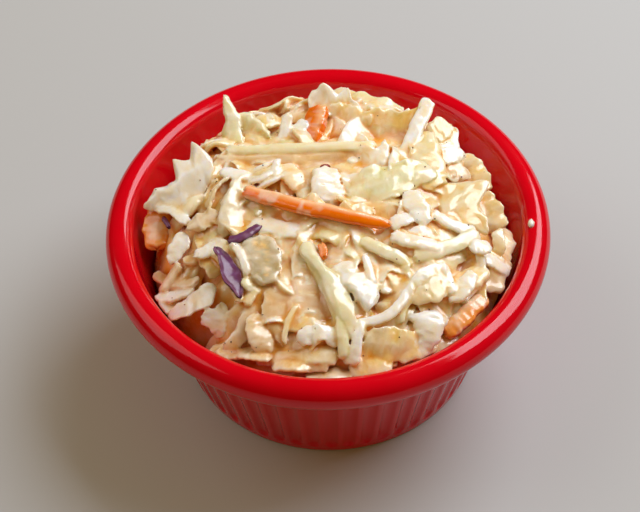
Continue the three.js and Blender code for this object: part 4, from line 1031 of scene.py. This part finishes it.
def coreShape():
    # height at each ring and angle, less the hollows, plus the product of two sine waves
    radius = np.linspace(0, heap["reach"] + core["pastReach"], core["rings"] + 1)[1:]
    angle = np.arange(core["segments"]) / core["segments"] * fullTurn
    x, y = radius[:, None] * np.cos(angle), radius[:, None] * np.sin(angle)
    first, second = (np.sin(alongX * x + alongY * y + shift) for alongX, alongY, shift in core["folds"])
    z = coreHeight(x, y) + core["foldHeight"] * first * second - hollows["depth"] * hollowShare(x, y)
    top = clearOfWall(np.stack([x, y, z], -1))[::-1]
    low = np.stack([x[-1], y[-1], np.full_like(x[-1], core["bottom"])], -1)[None]
    grid = np.vstack([clearOfWall(low), top])
    points = np.vstack([grid.reshape(-1, 3), [(0, 0, core["bottom"])], [grid[-1].mean(0)]])
    return {"points": points, "faces": wrapFaces(len(grid), core["segments"]),
            "tint": np.tile(core["colour"], (len(points), 1))}


# skirt: torn pieces laid on the slopes all round, where no shred that shows covers them

skirt = {
    "count": 420,
    "seed": 17,
    "radius": (19.0, 35.5),
    "mostCover": 0.42,
    "half": (3.5, 7.0),
    "bend": (-1.5, 1.5),
    "swing": 60.0,  # degrees either side of level along the slope
    "halfWidth": (1.3, 3.0),
    "thick": (0.9, 1.3),
    "midLift": (0.7, 2.0),
    "endLift": (-0.4, 0.8),
    "roll": (-16, 16),  # about the slope's own tilt
}


def skirtRows():
    # pieces a golden angle apart at random radii, laid along the slope and tilted with it
    draw = np.random.default_rng(skirt["seed"])
    at = lambda px, py: float(coreHeight(np.array(px), np.array(py)))
    lifted = lambda px, py, step: at(px, py) + draw.uniform(*skirt["endLift" if step else "midLift"])
    rows = []
    for i in range(skirt["count"]):
        angle = np.radians(i * goldenAngle)
        radius = np.sqrt(draw.uniform(*np.square(skirt["radius"])))
        x, y = radius * np.cos(angle), radius * np.sin(angle)
        heading = angle + np.pi / 2 + np.radians(draw.uniform(-skirt["swing"], skirt["swing"]))
        path = layPath(x, y, heading, draw.uniform(*skirt["half"]), draw.uniform(*skirt["bend"]), lifted)
        aside = np.array([np.sin(heading), -np.cos(heading)])  # to the right as seen along the piece
        slope = (at(*(np.array([x, y]) + aside)) - at(*(np.array([x, y]) - aside))) / 2
        row = tornPiece(draw, path, skirt, np.degrees(np.arctan(slope)) + draw.uniform(*skirt["roll"]))
        bare = sampled(coverGrid, np.array(x), np.array(y)) < skirt["mostCover"]
        if bare and not hasHollow([(x, y)]):
            rows.append(row)
    return rows


shapes["core"] = coreShape()
shapes["slope_pieces"] = carryTorn(skirtRows(), seed=27)
print("core and slope pieces worked out")


# dressed cabbage: shreds and core made one skin, as dressing joins them, coloured by what lies nearest

dressed = {
    "voxel": 0.2,
    "cutHeight": 25.0,  # the unseen underside is cut off flat
    "triangles": 196000,
    "tintBox": ((-40, -40, 15), (80, 80, 34)),  # lowest corner and size
    "tintCells": (0.4, 1.0),
    "tintSpread": 0.2,  # weight of each neighbouring cell
    "creasePasses": 10,
    "fillShare": 0.5,  # how far dressing brings the creases towards the softened skin
    "creaseDepth": 0.26,  # millimetres under the smoothed skin for the full crease filling and the full painted crease shade
    # painted shade: golden in the creases of the skin
    "paintedCreaseShade": (0.92, 0.60, 0.15),
    # painted highlight: the ridges of the skin whitened
    "paintedRidgeHighlight": (0.97, 0.95, 0.92),
    "ridgeHighlightShare": 0.32,
}


def modified(mesh, settings):
    # the mesh after a row of modifiers
    worked = bpy.data.objects.new("worked", mesh)
    bpy.context.scene.collection.objects.link(worked)
    for kind, values in settings:
        modifier = worked.modifiers.new(kind, kind)
        for key, value in values.items():
            setattr(modifier, key, value)
    skin = bmesh.new()
    skin.from_object(worked, bpy.context.evaluated_depsgraph_get())
    bpy.data.objects.remove(worked)
    bpy.data.meshes.remove(mesh)
    return skin


def mergedMesh(name, parts):
    # the parts made one skin on a grid of voxels, cut off flat below and thinned out
    starts = np.cumsum([0] + [len(part["points"]) for part in parts[:-1]])
    whole = {
        "points": np.vstack([part["points"] for part in parts]),
        "faces": [block + start for part, start in zip(parts, starts) for block in part["faces"]],
    }
    skin = modified(meshOf("loose_parts", whole), [
        ("REMESH", {"mode": "VOXEL", "voxel_size": dressed["voxel"] * mm}),
    ])
    everything = skin.verts[:] + skin.edges[:] + skin.faces[:]
    cut = (0, 0, dressed["cutHeight"] * mm)
    bmesh.ops.bisect_plane(skin, geom=everything, plane_co=cut, plane_no=(0, 0, 1), clear_inner=True)
    bmesh.ops.holes_fill(skin, edges=[edge for edge in skin.edges if edge.is_boundary])
    fine = bpy.data.meshes.new("fine_skin")
    skin.to_mesh(fine)
    skin.free()
    triangles = len(fine.loops) - 2 * len(fine.polygons)
    print("skin of", name, "before thinning:", triangles, "triangles")
    skin = modified(fine, [("DECIMATE", {"ratio": min(1, dressed["triangles"] / triangles)})])
    mesh = bpy.data.meshes.new(name)
    skin.to_mesh(mesh)
    skin.free()
    return mesh


def pointsOf(mesh, collection="vertices", what="co"):
    # one row of three numbers for each item
    values = np.empty(len(getattr(mesh, collection)) * 3, np.float32)
    getattr(mesh, collection).foreach_get(what, values)
    return values.reshape(-1, 3).astype(float)


def cellTint(parts, points, cell):
    # mean colour of the parts' own points in each cell of a grid, spread to the neighbouring cells
    low, span = np.array(dressed["tintBox"], float)
    size = tuple((span / cell).astype(int) + 1)
    place = lambda at: tuple(np.rint((at - low) / cell).astype(int).clip(0, np.array(size) - 1).T)
    total = np.zeros(size + (4,), np.float32)
    for part in parts:
        np.add.at(total, place(part["points"]), np.column_stack([part["tint"], np.ones(len(part["tint"]))]))
    for axis in (0, 1, 2):
        total = total + dressed["tintSpread"] * (np.roll(total, 1, axis) + np.roll(total, -1, axis))
    found = total[place(points)].astype(float)
    return found[:, :3] / np.maximum(found[:, 3:], 1e-6), found[:, 3:] > 0


def nearTint(parts, points):
    # from the fine cells where they hold anything, or else from the coarse
    (fine, held), (coarse, _) = [cellTint(parts, points, cell) for cell in dressed["tintCells"]]
    return np.where(held, fine, coarse)


def softened(mesh, points):
    # the skin after some averaging of neighbours
    edges = np.empty(len(mesh.edges) * 2, np.int32)
    mesh.edges.foreach_get("vertices", edges)
    first, second = np.concatenate([edges.reshape(-1, 2), edges.reshape(-1, 2)[:, ::-1]]).T
    near = np.maximum(np.bincount(first, minlength=len(points)), 1)[:, None]
    soft = points
    for _ in range(dressed["creasePasses"]):
        soft = np.column_stack([np.bincount(first, soft[second, k], len(points)) for k in range(3)]) / near
    return soft


def crease(mesh, points, soft):
    # how far each point lies under the softened skin, along its normal
    return ((soft - points) * pointsOf(mesh, "vertex_normals", "vector")).sum(1) / dressed["creaseDepth"]


def fillCreases(mesh):
    # dressing gathers in the creases: sunken points move part of the way to the softened skin
    points = pointsOf(mesh) / mm
    soft = softened(mesh, points)
    share = dressed["fillShare"] * smoothStep(crease(mesh, points, soft))
    filled = points + (soft - points) * share[:, None]
    mesh.vertices.foreach_set("co", (filled * mm).astype(np.float32).ravel())
    mesh.update()


def dressedMesh(name, parts):
    # colour of the nearest part, with a painted highlight whitening the ridges and painted golden shade in
    # the creases and gaps
    mesh = mergedMesh(name, parts)
    fillCreases(mesh)
    points = pointsOf(mesh) / mm
    sunken = crease(mesh, points, softened(mesh, points))[:, None]
    # painted highlight: the ridges whitened where light catches them
    ridge = dressed["ridgeHighlightShare"] * smoothStep(-sunken)
    tint = blend(nearTint(parts, points), np.array(dressed["paintedRidgeHighlight"]), ridge)
    # painted shade: golden in the creases of the skin
    golden = blend(np.ones(3), np.array(dressed["paintedCreaseShade"]), smoothStep(sunken))
    paint(mesh, tint * sunkTint(points) * golden)
    return mesh


# finishes of the food

dressing = {
    "film": (240, 2),  # scale and detail of the noise
    "mottle": (330, 4),
    "mottleShare": 0.42,
    "mottleTint": (0.94, 0.80, 0.56),
    "gloss": (340, 3),
    "roughness": (0.12, 0.36),
    "middle": (0.35, 0.65),  # the range of the noise that mottle and gloss take up
    "bumps": ((520, 3, 0.2, 0.15), (2200, 3, 0.25, 0.05)),
}


def tintOf(tree):
    tint = tree.nodes.new("ShaderNodeAttribute")
    tint.attribute_name = "tint"
    return tint.outputs["Color"]


def wetShred(name, settings, milk, milkShare, edge=(0.40, 0.64)):
    # tint of the shred under a thin uneven film of dressing
    material, tree, shader = newMaterial(name, settings)
    film = rangeNode(tree, noiseNode(tree, *dressing["film"]), *edge, 0, milkShare)
    filmed = mixColour(tree, "MIX", film, tintOf(tree), milk)
    mottle = noiseNode(tree, *dressing["mottle"])
    mottle = rangeNode(tree, mottle, *dressing["middle"], 0, dressing["mottleShare"])
    mottled = mixColour(tree, "MULTIPLY", mottle, filmed, dressing["mottleTint"])
    tree.links.new(mottled, shader.inputs["Base Color"])
    gloss = noiseNode(tree, *dressing["gloss"])
    gloss = rangeNode(tree, gloss, *dressing["middle"], *dressing["roughness"])
    tree.links.new(gloss, shader.inputs["Roughness"])
    addBump(tree, shader, dressing["bumps"])
    return material


wet = {
    "Subsurface Weight": 0.5,
    "Subsurface Radius": (1.0, 0.7, 0.35),
    "Subsurface Scale": 0.003,
    "Specular IOR Level": 0.5,
    "Coat Weight": 0.8,
    "Coat Roughness": 0.06,
}
wetCarrot = {**wet, "Subsurface Radius": (1.0, 0.3, 0.08), "Subsurface Weight": 0.2}
wetPurple = {**wet, "Subsurface Weight": 0.1, "Coat Weight": 0.3, "Specular IOR Level": 0.3}
cabbageFinish = wetShred("dressedCabbage", wet, (0.97, 0.95, 0.92), 0.3)
carrotFinish = wetShred("dressedCarrot", wetCarrot, (0.97, 0.84, 0.72), 0.5, (0.53, 0.62))
# the purple's lilac patches: partly dressing on it, partly painted highlight
purpleFinish = wetShred("dressedPurpleCabbage", wetPurple, (0.50, 0.33, 0.47), 0.35, (0.52, 0.64))

cabbageKinds = ("cabbage_leaves", "cabbage_strips", "under_strips", "torn_pieces", "slope_pieces", "core")
cabbageMesh = dressedMesh("dressed_cabbage", [shapes[kind] for kind in cabbageKinds])
addPiece("dressed_cabbage", cabbageMesh, cabbageFinish, "slaw_cream", "slaw")
for name, finish in (("carrot_strips", carrotFinish), ("purple_cabbage", purpleFinish)):
    mesh = meshOf(name, shapes[name])
    # painted shade in the gaps, as on the cabbage
    paint(mesh, shapes[name]["tint"] * sunkTint(shapes[name]["points"]))
    addPiece(name, mesh, finish, "slaw_cream", "slaw")


# pepper: small many-sided lumps half sunk into the upward faces, and a crumb on the lip

specks = {
    "count": 90,
    "seed": 31,
    "leastUp": 0.45,  # upward part of the normal
    "leastHeight": -1.5,  # against the local top
    "radius": (0.10, 0.26),
    "flat": (0.5, 1.0),
    "dent": (0.75, 1.2),  # each corner's distance from the middle
    "colour": (0.07, 0.032, 0.014),
    "warm": (0.34, 0.12, 0.03),
    "roughness": 0.5,
}
crumb = {
    "place": (40.3, -3.1, 36.9),
    "size": (0.8, 1.2, 0.7),
    "colour": (0.94, 0.90, 0.84),
    "seed": 7,
}


def lumps(places, sizes, colours, draw):
    # twenty-sided lumps, each turned and dented by itself
    golden = (1 + 5 ** 0.5) / 2
    ring = [(a, b * golden) for a in (-1, 1) for b in (-1, 1)]
    corners = [(0, a, b) for a, b in ring] + [(a, b, 0) for a, b in ring] + [(b, 0, a) for a, b in ring]
    corners = unit(np.array(corners))
    count = len(corners)
    near = np.linalg.norm(corners[:, None] - corners[None], axis=-1) < 1.2  # neighbours are 1.05 apart
    trios = [(i, j, k) for i in range(count) for j in range(i + 1, count) for k in range(j + 1, count)
             if near[i, j] and near[j, k] and near[i, k]]
    outward = [np.linalg.det(corners[list(trio)]) > 0 for trio in trios]
    faces = np.array([trio if out else trio[::-1] for trio, out in zip(trios, outward)])
    turn = np.linalg.qr(draw.normal(0, 1, (len(places), 3, 3)))[0]
    turn = turn * np.sign(np.linalg.det(turn))[:, None, None]
    dent = draw.uniform(*specks["dent"], (len(places), count, 1))
    points = places[:, None] + np.einsum("nij,kj->nki", turn, corners) * dent * sizes[:, None]
    base = (np.arange(len(places)) * count)[:, None, None]
    return {"points": points.reshape(-1, 3), "faces": [(faces[None] + base).reshape(-1, 3)],
            "tint": np.repeat(colours, count, 0)}


def pepperLumps(mesh):
    # at random points of the skin that face upwards and lie near the local top
    draw = np.random.default_rng(specks["seed"])
    count = specks["count"]
    points = pointsOf(mesh) / mm
    up = pointsOf(mesh, "vertex_normals", "vector")[:, 2]
    over = points[:, 2] - sampled(topGrid, points[:, 0], points[:, 1])
    shown = np.flatnonzero((up > specks["leastUp"]) & (over > specks["leastHeight"]))
    chosen = draw.choice(shown, count)
    sizes = draw.uniform(*specks["radius"], (count, 1)) * draw.uniform(*specks["flat"], (count, 3))
    warmth = draw.uniform(0, 1, (count, 1)) ** 2
    colours = blend(np.array(specks["colour"]), np.array(specks["warm"]), warmth)
    return lumps(points[chosen], sizes, colours, draw)


def crumbLump():
    one = [np.array([crumb[key]]) for key in ("place", "size", "colour")]
    return lumps(*one, np.random.default_rng(crumb["seed"]))


def pepperFinish():
    material, tree, shader = newMaterial("pepper", {"Roughness": specks["roughness"]})
    tree.links.new(tintOf(tree), shader.inputs["Base Color"])
    return material


for name, shape, finish in (("pepper_specks", pepperLumps(cabbageMesh), pepperFinish()),
                            ("lip_crumb", crumbLump(), cabbageFinish)):
    mesh = meshOf(name, shape)
    paint(mesh, shape["tint"])
    addPiece(name, mesh, finish, "slaw_cream", "slaw")


# sizes: the CAD box beside the dressed part's

lookLow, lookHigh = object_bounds()
